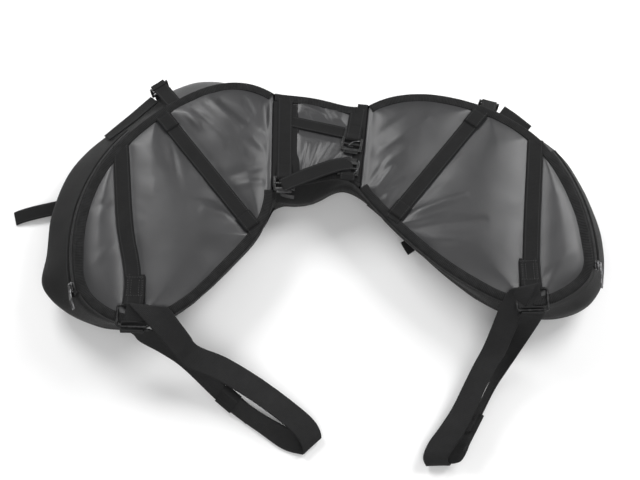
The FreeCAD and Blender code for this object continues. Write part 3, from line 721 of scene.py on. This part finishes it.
def smooth_columns(columns, rounds):
    """Evens out the columns along the wall, without moving either end."""
    for _ in range(rounds):
        before = [list(c[0]) for c in columns]
        for k in range(1, len(columns) - 1):
            for row in range(len(before[k])):
                middle = (before[k - 1][row] + before[k + 1][row]) * 0.5
                columns[k][0][row] = before[k][row].lerp(middle, 0.5)


def wall_wrinkle(p, height):
    """How far the wall stands out at a point: long level folds and small puckers."""
    slow = noise.noise(Vector((p.x * 11, p.y * 11, p.z * 34)))
    fine = noise.noise(Vector((p.x * 34 + 7, p.y * 34, p.z * 60)))
    pucker = noise.noise(Vector((p.x * 70, p.y * 70, 3.0))) * math.exp(-((height - 0.12) / 0.10) ** 2)
    fade = min(1.0, height / 0.08) * min(1.0, (1 - height) / 0.14)
    return fade * (0.0030 * slow + 0.0012 * fine) + 0.0010 * pucker * min(1.0, height / 0.05)


WALLS = {}


def wall_skin(lobe):
    """Half of the black shell, from the floor up to the face's edge, and its bottom."""
    columns = wall_columns(lobe)
    smooth_columns(columns, 6)
    WALLS[lobe.name] = columns
    rows = 26
    verts = []
    for points, direction in columns:
        for row in range(rows + 1):
            height = row / rows
            p = catmull(points, (len(points) - 1) * row / rows)
            p = p + direction * wall_wrinkle(p, height)
            p.z = max(p.z, 0.0006)
            verts.append(p)
    count = len(columns)
    faces = grid_faces(count - 1, rows)
    hub = Vector((-0.13, 0.15, 0.0)) if lobe.side < 0 else Vector((0.15, 0.2, 0.0))
    rings = 8
    foot = outer = range(0, len(verts), rows + 1)
    for ring in range(1, rings + 1):
        inner = range(len(verts), len(verts) + count)
        share = 1 - ring / rings
        for k in range(count):
            edge = verts[foot[k]]
            p = hub + (Vector((edge.x, edge.y, 0)) - hub) * share
            p.z = 0.0006 + 0.0006 * (0.5 + 0.5 * noise.noise(Vector((p.x * 18, p.y * 18, 5))))
            verts.append(p)
            after = (k + 1) % count
            faces.append((outer[k], outer[after], inner[after], inner[k]))
        outer = inner
    shell = piece(lobe.own("shell"), verts, faces, "wall")
    outwards(shell)
    subdivide(shell)
    shell.data.materials.append(M["coated"])
    for polygon in shell.data.polygons:       # the back of the saddle and the bag beside it is coated
        x, y, z = polygon.center
        if z > 0.022 and -0.225 < x < 0.11 and polygon.normal.y > 0.45 and y > 0.2:
            polygon.material_index = 1
    names = [lobe.own("gusset"), lobe.own("outer_panel")]
    if lobe.side < 0:
        names += ["centre_back_wall", "centre_front_wall", "centre_outer_panel"]
    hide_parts(*names)
    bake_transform(shell)


# ---------------------------------------------------------------- edges and zips
def edge_path(lobe, start, end, count):
    """Face edge points and inward directions, in the slanted plane, over a range of angles."""
    raw = [edge_at(lobe, degrees % 360) for degrees in spaced(start, end, count)]
    for _ in range(4):
        raw = [raw[0]] + [(raw[k - 1] + raw[k] * 2 + raw[k + 1]) / 4 for k in range(1, count)] + [raw[-1]]
    found = []
    for p, run in zip(raw, runs(raw)):
        inward = UP.cross(run) if (end > start) else run.cross(UP)
        found.append((Vector((p.x, p.y, lobe.plane(p.x))), inward.normalized()))
    return found


BINDING = ((13.0, 0.1), (12.9, 1.3), (9.5, 2.1), (5.0, 2.5), (1.0, 2.3), (-1.2, 1.2), (-2.0, -0.8),
           (-2.2, -6.0), (-1.0, -6.3), (-0.2, -1.2), (1.0, -0.4), (12.0, -0.7))


def sweep_binding(name, path, up, body, replaces=(), profile=BINDING):
    """Grosgrain tape folded over an edge. path is (edge point, inward direction) in order."""
    verts, uvs = [], []
    length = 0.0
    for k, (point, inward) in enumerate(path):
        if k:
            length += (point - path[k - 1][0]).length
        level = (inward - up * inward.dot(up)).normalized()
        wobble = 0.0005 * noise.noise(Vector((length * 30, 0.5, 1.5)))
        along = 0.0
        for j, (inner, high) in enumerate(profile):
            if j:
                along += math.dist(profile[j], profile[j - 1]) * MM
            verts.append(point + level * (inner * MM) + up * (high * MM + wobble))
            uvs.append((length, along))
    faces = swept_faces(len(path), len(profile))
    outwards(piece(name, verts, faces, "tape", body, uvs, replaces=replaces))


def bindings():
    """Tape round each face and along the saddle's back and front edges."""
    for lobe in LOBES:
        start, end = lobe.sweep
        path = edge_path(lobe, start, end, 300)
        sweep_binding(lobe.own("binding"), path, lobe.normal(), lobe.body, (lobe.own("edge_binding"),))
    xs = spaced(-0.0435, 0.0950, 40)
    back, front = ([(Vector((x, saddle_edge(x, way), FACE)), Vector((0, -way, 0))) for x in xs]
                   for way in (1, -1))
    sweep_binding("centre_back_edge", back, UP, "centre", ("centre_back_binding",))
    thin = [(inner * 0.5 if inner > 0 else inner, high * 0.8) for inner, high in BINDING]
    sweep_binding("centre_front_edge", front, UP, "centre", profile=thin)


def on_arc(lobe, degrees, drop, off):
    """A point on the zip band: an angle about the arc's centre, a drop below the face, an offset."""
    out = lobe.arc_radius + 0.012 * (drop - 0.004) / 0.014 + off
    flat = lobe.arc_centre + bearing(degrees) * out
    return flat + UP * (lobe.plane(flat.x) - drop)


def zips():
    """Zip tape with its woven edge, and the coil's teeth, one small loop each."""
    for lobe in LOBES:
        body = lobe.body
        start, end = lobe.zip_arc
        count = int(abs(end - start) * math.radians(1) * lobe.arc_radius / 0.0022)
        verts, faces = [], []
        for k in range(count):
            degrees = start + (end - start) * (k + 0.5) / count
            for low, high, shift in ((0.0078, 0.0112, 0.0), (0.0108, 0.0142, 0.5)):
                a = degrees + (end - start) / count * shift
                here = on_arc(lobe, a, (low + high) / 2, 0.0036)
                along = (on_arc(lobe, a + 0.1, low, 0.0) - on_arc(lobe, a - 0.1, low, 0.0)).normalized()
                down = (on_arc(lobe, a, high, 0.0) - on_arc(lobe, a, low, 0.0)).normalized()
                out = along.cross(down).normalized()
                if out.dot(here - lobe.arc_centre - UP * here.z) < 0:
                    out = -out
                base = len(verts)
                for step in range(5):
                    angle = math.pi * step / 4
                    ring = here + down * (-0.0017 * math.cos(angle)) + out * (0.0013 * math.sin(angle))
                    for side in (-1, 1):
                        verts.append(ring + along * (0.0007 * side))
                faces += [(i, i + 1, i + 3, i + 2) for i in range(base, base + 8, 2)]
                faces += [tuple(range(base, base + 9, 2)), tuple(range(base + 9, base, -2)),
                          (base + 1, base, base + 8, base + 9)]
        outwards(piece(lobe.own("zip_teeth"), verts, faces, "coil", body, smooth=False,
                       replaces=(lobe.own("zip_coil"),)))
        stations = []
        for degrees in spaced(start, end, 40):
            middle = on_arc(lobe, degrees, 0.011, 0.0022)
            down = (on_arc(lobe, degrees, 0.017, 0.0) - on_arc(lobe, degrees, 0.005, 0.0)).normalized()
            stations.append((middle, down))
        ribbon(lobe.own("zip_web"), stations, 0.0205, 0.0016, "tape", body, step=0.005,
               replaces=(lobe.own("zip_tape"),))
        # the wall's rolled lip beside the zip
        lip = [on_arc(lobe, degrees, 0.0195, 0.0030) for degrees in spaced(start, end, 40)]
        tube(lobe.own("zip_lip"), lip, 0.0024, "wall", body, sides=8)


def sliders():
    """Slider bodies with a bridge, and their bright curved pulls."""
    for lobe in LOBES:
        low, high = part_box(lobe.own("zip_slider"))
        centre = (Vector(low) + Vector(high)) / 2
        outward = (centre - lobe.arc_centre - UP * centre.z).normalized()
        lean = math.atan2(0.014, 0.012)
        across = (outward * math.cos(lean) - UP * math.sin(lean)).normalized()
        out = (outward * math.sin(lean) + UP * math.cos(lean)).normalized()
        along = out.cross(across).normalized()
        place = placed(across, along, out, centre)
        rounded_boxes(lobe.own("slider_body"), [
            ((-4.8, -6.8, -4.5), (4.8, 6.8, -2.2)),
            ((-5, -7, 0.2), (5, 7, 1.8)),
            ((-0.8, -6.6, -3), (0.8, 6.6, 0.8)),
            ((-1.4, -4.5, 1.2), (1.4, -2.8, 4.4)),
            ((-1.4, 2.8, 1.2), (1.4, 4.5, 4.4)),
            ((-1.3, -4.4, 3.4), (1.3, 4.4, 4.8)),
        ], "metal", lobe.own("slider"), place, 0.0005, (lobe.own("zip_slider"),))
        low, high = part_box(lobe.own("zip_pull"))
        middle = (Vector(low) + Vector(high)) / 2
        way = along if (middle - centre).dot(along) > 0 else -along
        stations = [(middle + way * ((t - 0.5) * 0.033) + out * (0.0016 * math.sin(math.pi * t)), across)
                    for t in spaced(0, 1, 6)]
        ribbon(lobe.own("pull_tab"), stations, 0.0066, 0.0018, "metal", lobe.own("pull"), step=0.002,
               replaces=(lobe.own("zip_pull"),))


zips()
face_skin(LEFT, 0.0095)
face_skin(RIGHT, 0.0090)
centre_skin()
wall_skin(LEFT)
wall_skin(RIGHT)
bindings()
sliders()


# ----------------------------------------------------------------- face webbing
def strap_stations(lobe, points, lift=0.0012):
    """Stations of webbing that lies on a face."""
    normal = lobe.normal()
    spots = [Vector((x, y, lobe.plane(x))) for x, y in points]
    return [(spot + normal * lift, normal.cross(run)) for spot, run in zip(spots, runs(spots))]


def stitch_row(name, points, up, body):
    """A row of raised stitches along a polyline."""
    length, pitch, radius = 0.0026, 0.0038, 0.00045
    verts, faces = [], []
    for a, b in zip(points, points[1:]):
        a, b = Vector(a), Vector(b)
        run = (b - a).normalized()
        side = up.cross(run).normalized()
        for k in range(int((b - a).length / pitch)):
            start = a + run * (k * pitch)
            base = len(verts)
            for step, swell in ((0.0, 0.2), (0.25, 1.0), (0.75, 1.0), (1.0, 0.2)):
                middle = start + run * (length * step)
                for j in range(6):
                    turn = 2 * math.pi * j / 6
                    verts.append(middle + side * (radius * swell * math.cos(turn))
                                 + up * (radius * swell * math.sin(turn)))
            faces += swept_faces(4, 6, base)
    outwards(piece(name, verts, faces, "thread", body))


def inset(lobe, point, target, margin):
    """Moves a strap's end towards target until it lies margin inside the face's edge."""
    point = Vector((*point, 0.0))
    target = Vector((*target, 0.0))
    step = (target - point).normalized() * MM
    for _ in range(60):
        reach = point - lobe.inner
        edge = edge_at(lobe, math.degrees(math.atan2(reach.y, reach.x)) % 360)
        if (edge - lobe.inner).length - reach.length >= margin:
            break
        point = point + step
    return (point.x, point.y)


def face_straps():
    """The long strap and the diagonal strap of each face, with the sewn patches on the diagonal's ends."""
    for lobe in LOBES:
        body = lobe.body
        points = list(STRAPS[lobe.own("long")])
        points[0] = inset(lobe, points[0], points[1], 0.004)
        a, b = STRAPS[lobe.own("diagonal")]
        a, b = inset(lobe, a, b, 0.003), inset(lobe, b, a, 0.003)
        for key, path, shift in (("long", points, 0), ("diagonal", (a, b), 3)):
            ribbon(lobe.own(key + "_webbing"), strap_stations(lobe, path), WEB, 0.0022, "strap", body,
                   replaces=(lobe.own(key + "_strap"),), ripple=0.0004, shift=shift + lobe.side)
        run = Vector((b[0] - a[0], b[1] - a[1])).normalized()
        for key, end, way in (("top", a, 1), ("foot", b, -1)):
            patch = [(end[0] + way * run.x * s, end[1] + way * run.y * s) for s in (0.009, 0.036)]
            ribbon(lobe.own("diagonal_" + key), strap_stations(lobe, patch, 0.0033), 0.0262, 0.0020,
                   "strap", body)


RINGS = {"left": (-0.252, -0.092), "right": (0.355, -0.067)}
BAR_LIFT = 0.0042
RING_DEPTH = 0.034


def keepers():
    """Webbing folded round each ring's inner bar and sewn back on itself."""
    for lobe in LOBES:
        x, y = RINGS[lobe.name]
        place = lobe.frame(x, y)
        turn = place.to_3x3()
        across = turn @ Vector((1, 0, 0))
        path = [(0.050, 0.0012), (0.030, 0.0012), (0.012, 0.0011), (0.004, 0.0008), (0.0, 0.0009),
                (-0.0034, 0.0042), (0.0, 0.0075), (0.005, 0.0066), (0.013, 0.0040), (0.030, 0.0034),
                (0.0465, 0.0034)]
        stations = [(place @ Vector((0, a, b)), across) for a, b in path]
        ribbon(lobe.own("keeper"), stations, 0.030, 0.0019, "strap", lobe.body, step=0.0012,
               replaces=(lobe.own("ring_keeper"),))
        up = turn @ Vector((0, 0, 1))
        rows = [((side, 15, 4.9), (side, 44, 4.6)) for side in (-11.5, -6, 6, 11.5)]
        rows += [((-13.5, 44.5, 4.6), (13.5, 44.5, 4.6)), ((-13.5, 15, 4.9), (13.5, 15, 4.9))]
        for index, row in enumerate(rows):
            ends = [place @ (Vector(end) * MM) for end in row]
            stitch_row(lobe.own("keeper_stitch_%d" % index), ends, up, lobe.body)


# -------------------------------------------------------------------- foot loops
LOOPS = {
    "left": [
        ((-166, -160, 62), (0.48, 0.86, 0.1)),
        ((-122, -176, 50), (0.5, 0.84, 0)),
        ((-66, -208, 42), (0.55, 0.8, -0.15)),
        ((-12, -246, 31), (0.66, 0.72, -0.2)),
        ((12, -268, 21), (0.72, 0.68, -0.1)),
        ((20, -287, 12), (0.74, 0.67, 0)),
        ((12, -288, 3.8), (0.74, 0.67, 0)),
        ((-17, -280, 11.5), (0.6, 0.64, 0.48)),
        ((-56, -258, 18.5), (0.42, 0.5, 0.76)),
        ((-96, -231, 19.7), (0.42, 0.47, 0.78)),
        ((-128, -205, 23.7), (0.42, 0.47, 0.78)),
        ((-175, -161, 41), (0.5, 0.5, 0.7)),
        ((-203, -143, 60), (0.72, 0.45, 0.5)),
        ((-227, -135, 83), (0.95, 0.3, 0.1)),
    ],
    "right": [
        ((301, -152, 64), (0.76, -0.42, 0.45)),
        ((285, -178, 54), (0.72, -0.38, 0.55)),
        ((268, -210, 47), (0.72, -0.36, 0.55)),
        ((252, -241, 41), (0.75, -0.38, 0.5)),
        ((234, -270, 35), (0.82, -0.42, 0.3)),
        ((216, -294, 29), (0.93, -0.33, 0.1)),
        ((209, -309, 23), (1, -0.1, 0)),
        ((213, -318, 13), (1, 0, 0)),
        ((217, -316, 4.5), (1, 0, 0)),
        ((232, -307, 11), (0.85, -0.35, 0.35)),
        ((245, -294, 18.5), (0.6, -0.3, 0.72)),
        ((260, -274, 23.2), (0.25, -0.12, 0.95)),
        ((279, -240, 24.5), (0.2, -0.1, 0.97)),
        ((300, -203, 25), (0.2, -0.1, 0.97)),
        ((315, -177, 29), (0.35, -0.15, 0.9)),
        ((330, -146, 46), (0.65, -0.3, 0.65)),
        ((343, -121, 82), (0.97, -0.2, 0.1)),
    ],
}
# the slack start of each loop: up inside the ring, folded aslant over its crest, and down across it.
# The second vector is the webbing's own half width here, so it isn't turned square to the run.
STARTS = {
    "left": [((-249, -124, 108), (19, 1, 0)), ((-245, -112, 112), (21, 1, 0)),
             ((-237, -100, 117), (25, -1, -1)), ((-231, -95, 121), (28, -3, -2)),
             ((-226, -98, 121), (27, 0, -2)), ((-214, -109, 116), (20, 8, -1)),
             ((-198, -126, 101), (15, 12, 0)), ((-180, -146, 80), (11, 15.5, 1))],
    "right": [((353, -99, 113), (19, 1, 0)), ((350, -84, 116), (20, 2, 0)), ((346, -74, 122), (21, 4, 0)),
              ((343, -67, 127), (21, 5, 0)), ((340, -69, 128), (20, 3, 0)), ((333, -80, 121), (18, -3, 1)),
              ((324, -98, 104), (17, -6, 3)), ((312, -127, 82), (15.5, -7.5, 6))],
}
ENDS = {
    "left": [((-238, -130, 97), (15, 3, 0)), ((-246, -129, 108), (16, 1, 0))],
    "right": [((350, -112, 98), (19, -1, 0)), ((354, -105, 112), (19, 0, 0))],
}
SLEEVES = {"left": (9, 10), "right": (11, 12)}
ROLLS = {"left": 0.0082, "right": 0.0052}    # how loosely each loop turns round its ring's bar


def foot_loops():
    """Each foot loop with its roll round the ring's bar, its sleeve and the free end beside the sleeve."""
    for lobe in LOBES:
        body = lobe.own("loop")
        stations = [(c, a.normalized() * (LOOP_WEB / 2)) for c, a in in_mm(LOOPS[lobe.name])]
        starts, ends = ([(c, a * MM) for c, a in in_mm(table[lobe.name])] for table in (STARTS, ENDS))
        seat = lobe.frame(*RINGS[lobe.name])
        bar = seat @ Vector((0, -RING_DEPTH, BAR_LIFT))
        strap = ribbon(lobe.own("loop_webbing"), starts + stations + ends, LOOP_WEB, 0.0026, "loop",
                       step=0.003, replaces=(lobe.own("foot_loop"),), skew=True)
        lobe.own("ring")
        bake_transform(strap)
        turn = seat.to_3x3()
        level = turn @ Vector((1, 0, 0))
        radius = ROLLS[lobe.name]
        roll = [(bar + turn @ Vector((0, -radius * math.cos(a), radius * math.sin(a))), level)
                for a in map(math.radians, (180, 225, 270, 315, 0, 35))]
        ribbon(lobe.own("loop_roll"), roll, 0.035, 0.0026, "loop", body, step=0.001)
        first, last = SLEEVES[lobe.name]
        a, b = stations[first][0], stations[last][0]
        middle = (a + b) / 2
        run = (b - a).normalized()
        across = stations[first][1]
        cover = [(middle + run * s, across) for s in (-0.0150, -0.0145, -0.005, 0.005, 0.0145, 0.0150)]
        ribbon(lobe.own("sleeve_webbing"), cover, 0.0425, 0.0068, "strap", body, step=0.003,
               replaces=(lobe.own("loop_sleeve"),))
        # the sewn-on free end of the webbing, just past the sleeve
        square = (across - run * across.dot(run)).normalized()
        under = square.cross(run)
        if under.z > 0:
            under = -under
        root = middle + under * 0.0030 - square * 0.0016
        tail = [(root - run * s, across) for s in (0.010, 0.022, 0.034, 0.046)]
        ribbon(lobe.own("loop_end"), tail, LOOP_WEB, 0.0022, "loop", body)


# ------------------------------------------------------------------------- locks
def lock(name, place, body, node):
    """A moulded ladder lock: rails, round hinge bar, ridged middle bar, end bar and thumb tab."""
    boxes = [
        ((-17, -22.5, -1.7), (-13.4, 1.8, 1.9)),
        ((13.4, -22.5, -1.7), (17, 1.8, 1.9)),
        ((-15, -1.6, -1.5), (15, 1.6, 1.6)),
        ((-15, -12.2, -1.6), (15, -9, 1.6)),
        ((-15, -11.6, 0.6), (15, -9.8, 3)),
        ((-16, -22.2, -1.6), (16, -18, 1.8)),
        ((-12, -28.2, 0.4), (12, -21.2, 2.6), -0.30),
        ((-10, -26.2, 2.2), (10, -25.4, 3.8), -0.30),
        ((-10, -24, 1.6), (10, -23.2, 3.2), -0.30),
    ]
    rounded_boxes(name, boxes, "lock", body, place, 0.0007, (node,))


def heading_frame(x, y, heading):
    """The frame of a saddle lock's bar, whose lock points along a heading."""
    return Matrix.Translation((x, y, FACE + BAR_LIFT)) @ Matrix.Rotation(math.radians(heading + 90), 4, "Z")


# each saddle lock: its bar's frame, and how far its anchor webbing is sewn on
SADDLE_LOCKS = {"left": (heading_frame(-0.026, 0.128, -90), 0.146),
                "upper": (heading_frame(0.086, 0.197, -100), 0.058),
                "lower": (heading_frame(0.077, 0.133, 84), 0.008)}
# thin bright wire arcs, in millimetres, that stand in for the highlights along the edges of two locks:
# painted highlights
HIGHLIGHT_WIRES = {"upper": ((78, 181, 101), (83, 186, 103), (89, 188, 104), (98, 190, 102)),
         "lower": ((95, 156, 100), (96, 147, 102), (93, 139, 102), (86, 132, 99))}


def back_lock(lobe):
    """A back lock's bar: its middle, its direction, and the way out of the wall."""
    joint = next(j for j in frame["joints"] if j["name"] == lobe.own("back_lock_tilt"))
    side = Vector(joint["axis"])
    out = side.cross(UP)
    return Vector(joint["pos_m"]), side, out if out.y > 0 else -out


def locks():
    """The three locks of the saddle, two with a thin bright wire arc that stands in for the highlight along
    the lock's edge (a painted highlight), and the locks on the back walls.
    """
    for key, (seat, _) in SADDLE_LOCKS.items():
        lock(key + "_lock_moulding", seat, key + "_lock", key + "_lock")
    # bright wires standing in for highlights on the locks' edges (painted highlights)
    for key, arc in HIGHLIGHT_WIRES.items():
        arc = [Vector(point) * MM for point in arc]
        tube(key + "_lock_wire", arc, 0.0006, "metal", key + "_lock", sides=6, step=0.002)
    for lobe in LOBES:
        bar, _, out = back_lock(lobe)
        lock(lobe.own("back_lock_moulding"), placed(UP.cross(out), UP, out, bar), lobe.own("back_lock"),
             lobe.own("back_lock"))


# ----------------------------------------------------- straps of the saddle
def folded_anchor(name, seat, length, node):
    """Webbing sewn down, folded round a lock's bar and back over itself."""
    base = seat @ Matrix.Translation((0, 0, -BAR_LIFT))
    across = seat.to_3x3() @ Vector((1, 0, 0))
    path = [(length, 0.0012), (length * 0.66, 0.0012), (length * 0.33, 0.0012), (0.004, 0.0008),
            (0.0, 0.0010), (-0.0032, 0.0042), (0.0, 0.0073), (0.004, 0.0064), (0.010, 0.0040),
            (min(0.024, length), 0.0034)]
    stations = [(base @ Vector((0, a, b)), across) for a, b in path]
    ribbon(name, stations, WEB, 0.0019, "strap", "centre", step=0.0015, replaces=(node,))


def saddle_straps():
    """Anchors of the saddle's locks, the cross webbing, the tether and the webbing on the seams."""
    for name, (seat, length) in zip(("left", "right", "front"), SADDLE_LOCKS.values()):
        folded_anchor(name + "_anchor_webbing", seat, length, name + "_anchor_strap")
    run = Vector((0.080, -0.019, 0)).normalized()
    across = UP.cross(run)
    points = [Vector((-0.014, 0.230, FACE + 0.0013)) + run * s for s in (0.0, 0.02, 0.045, 0.07, 0.088)]
    ribbon("cross_webbing", [(p, across) for p in points], 0.020, 0.0020, "narrow", "centre",
           replaces=("cross_strap",), ripple=0.0004)
    tether = [((-30, 112, 98), (-0.5, 0.86, 0)), ((-12, 120, 100), (-0.5, 0.86, 0)),
              ((14, 131, 101), (-0.45, 0.88, 0.1)), ((40, 141, 101.5), (-0.42, 0.9, 0.1)),
              ((62, 148, 101), (-0.38, 0.92, 0)), ((84, 153, 97), (-0.3, 0.95, 0))]
    strap = ribbon("tether_webbing", in_mm(tether), 0.024, WEB_THICK, "strap", replaces=("tether_strap",))
    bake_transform(strap)
    under = [(Vector((x, y, FACE + 0.0006)), (1, 0.03, 0)) for x, y in
             ((-0.0145, 0.262), (-0.0120, 0.200), (-0.0085, 0.150), (-0.0060, 0.124))]
    ribbon("anchor_under_webbing", under, 0.0190, 0.0012, "narrow", "centre")
    seam = [(Vector((right_seam(y) - 0.0085, y, FACE + 0.0012)), (1, -0.11, 0))
            for y in (0.120, 0.160, 0.200, 0.262)]
    ribbon("right_seam_webbing", seam, 0.0170, 0.0018, "strap", "centre")
    seam = [(Vector((-0.0405, y, FACE + 0.0008)), (1, 0, 0)) for y in (0.113, 0.150, 0.200, 0.268)]
    ribbon("left_seam_webbing", seam, 0.0105, 0.0016, "narrow", "centre")


def lock_anchors():
    """On each back wall: the anchor over the edge, round the lock's bar, and the strap below the lock."""
    for lobe in LOBES:
        bar, side, out = back_lock(lobe)
        far = Vector((bar.x, bar.y, 0)) + out * 0.1
        edge = tree_of(lobe.own("face_panel")).ray_cast(far + UP * (lobe.plane(bar.x) - 0.003), -out)[0]
        level = Vector((side.x, side.y, lobe.side * SLOPE * side.x))
        top = edge - out * 0.001
        path = [(Vector((top.x, top.y, lobe.plane(top.x) - 0.0030)), level),
                (bar + UP * 0.0034 - out * 0.0005, side), (bar + out * 0.0032, side),
                (bar - UP * 0.0030, side), (bar - out * 0.0030 - UP * 0.0004, side),
                (bar - out * 0.0062 + UP * 0.0070, side)]
        ribbon(lobe.own("anchor_webbing_over"), path, WEB, 0.0018, "strap", lobe.body, step=0.0015,
               replaces=(lobe.own("lock_anchor"),))
        wall = tree_of(lobe.own("gusset"), lobe.own("outer_panel"))
        path = [(wall.ray_cast(far + UP * z, -out)[0] + out * 0.0032, side)
                for z in (0.007, 0.020, 0.034, 0.046, 0.055)]
        path.append((bar - UP * 0.024 + out * 0.0012, side))
        ribbon(lobe.own("compression_webbing"), path, WEB, WEB_THICK, "strap", lobe.body, step=0.003,
               replaces=(lobe.own("compression_strap"),))


def trim():
    """Small sewn pieces: piping along the wall, a tag under the left lock and a tab on the right wall."""
    for lobe in LOBES:
        points = [catmull(heights, 2.6) + out * 0.0012 for heights, out in WALLS[lobe.name][14:-14:4]]
        tube(lobe.own("wall_piping"), points, 0.0019, "tape", lobe.body, sides=8, step=0.005)
    tag = in_mm([((-33, 103, 88), (0.35, 0.3, 0.88)), ((-22, 99, 87), (0.3, 0.3, 0.9)),
                 ((-10, 97, 86), (0.3, 0.3, 0.9))])
    ribbon("small_tag", tag, 0.0075, 0.0012, "thread", "centre")
    tab = in_mm([(centre, (0.7, 0.7, 0.2)) for centre in ((172, 42, 34), (178, 32, 30), (184, 24, 25))])
    ribbon("right_tab", tab, 0.016, 0.0030, "strap", "right_lobe")


TAILS = {
    "left": ("left_strap_tail", "left_tail", [
        ((-249, 281, 76), (0.52, -0.72, 0.45)), ((-276, 254, 75), (0.52, -0.7, 0.48)),
        ((-302, 231, 74), (0.52, -0.66, 0.54)), ((-325, 210, 72), (0.52, -0.6, 0.6))]),
    "right": ("right_strap_tail", "right_tail", [
        ((336, 254, 86), (-0.5, -0.8, 0.2)), ((356, 239, 84), (-0.55, -0.8, 0.15)),
        ((379, 220, 79), (-0.6, -0.75, 0.1))]),
    "tether": ("left_tether_tail", "tether_tail", [
        ((-386, 116, 12), (-0.2, 0.9, 0)), ((-430, 106, 10), (-0.2, 0.9, 0)),
        ((-470, 97, 6), (-0.2, 0.9, 0)), ((-487, 92, 2.5), (-0.2, 0.9, 0))]),
}


def loose_straps():
    """The free strap ends behind the bag and at its far left."""
    for key, (node, body, stations) in TAILS.items():
        ribbon(key + "_tail_webbing", in_mm(stations), WEB, WEB_THICK, "strap", body, replaces=(node,),
               ripple=0.0007, shift=9.0)


face_straps()
keepers()
foot_loops()
locks()
saddle_straps()
lock_anchors()
loose_straps()
trim()
for lobe in LOBES:
    ring = NODES[lobe.own("ring")]
    ring.data.materials.clear()
    ring.data.materials.append(M["wire"])

# ---------------------------------------------------------------- floor and light
floor_mesh = bpy.data.meshes.new("floor")
corners = [(x, y, -0.0004) for x, y in ((-4, -4), (4, -4), (4, 4), (-4, 4))]
floor_mesh.from_pydata(corners, [], [(0, 1, 2, 3)])
floor = bpy.data.objects.new("floor", floor_mesh)
bpy.context.scene.collection.objects.link(floor)
pale = bpy.data.materials.new("pale_floor")
pale.use_nodes = True
fill(pale.node_tree.nodes["Principled BSDF"], {"Base Color": (0.9, 0.9, 0.9, 1), "Roughness": 0.9})
floor_mesh.materials.append(pale)

world = bpy.data.worlds.new("studio")
world.use_nodes = True
fill(world.node_tree.nodes["Background"], {"Color": (1, 1, 1, 1), "Strength": 0.36})
bpy.context.scene.world = world


def aimed(name, data, place, target):
    """A light or camera at a place, turned to look at a target."""
    made = bpy.data.objects.new(name, data)
    made.location = place
    made.rotation_euler = (Vector(target) - Vector(place)).to_track_quat("-Z", "Y").to_euler()
    bpy.context.scene.collection.objects.link(made)
    return made


for name, place, target, size, energy in (
        ("key", (-0.85, 1.15, 1.4), (-0.1, 0.05, 0.05), 0.8, 22),
        ("rim", (1.15, 0.80, 1.3), (0.2, 0.05, 0.05), 0.8, 21),
        ("fill", (0.0, -1.3, 2.2), (0, 0.0, 0.0), 1.8, 26)):
    lamp = bpy.data.lights.new(name, "AREA")
    lamp.size = size
    lamp.energy = energy
    aimed(name, lamp, place, target)
bpy.context.scene.view_settings.view_transform = "Standard"

optics = bpy.data.cameras.new("camera")
optics.lens = 52
optics.sensor_width = 36
bpy.context.scene.camera = aimed("camera", optics, (0.032, -0.480, 1.4695), (0.032, 0.033, 0.060))
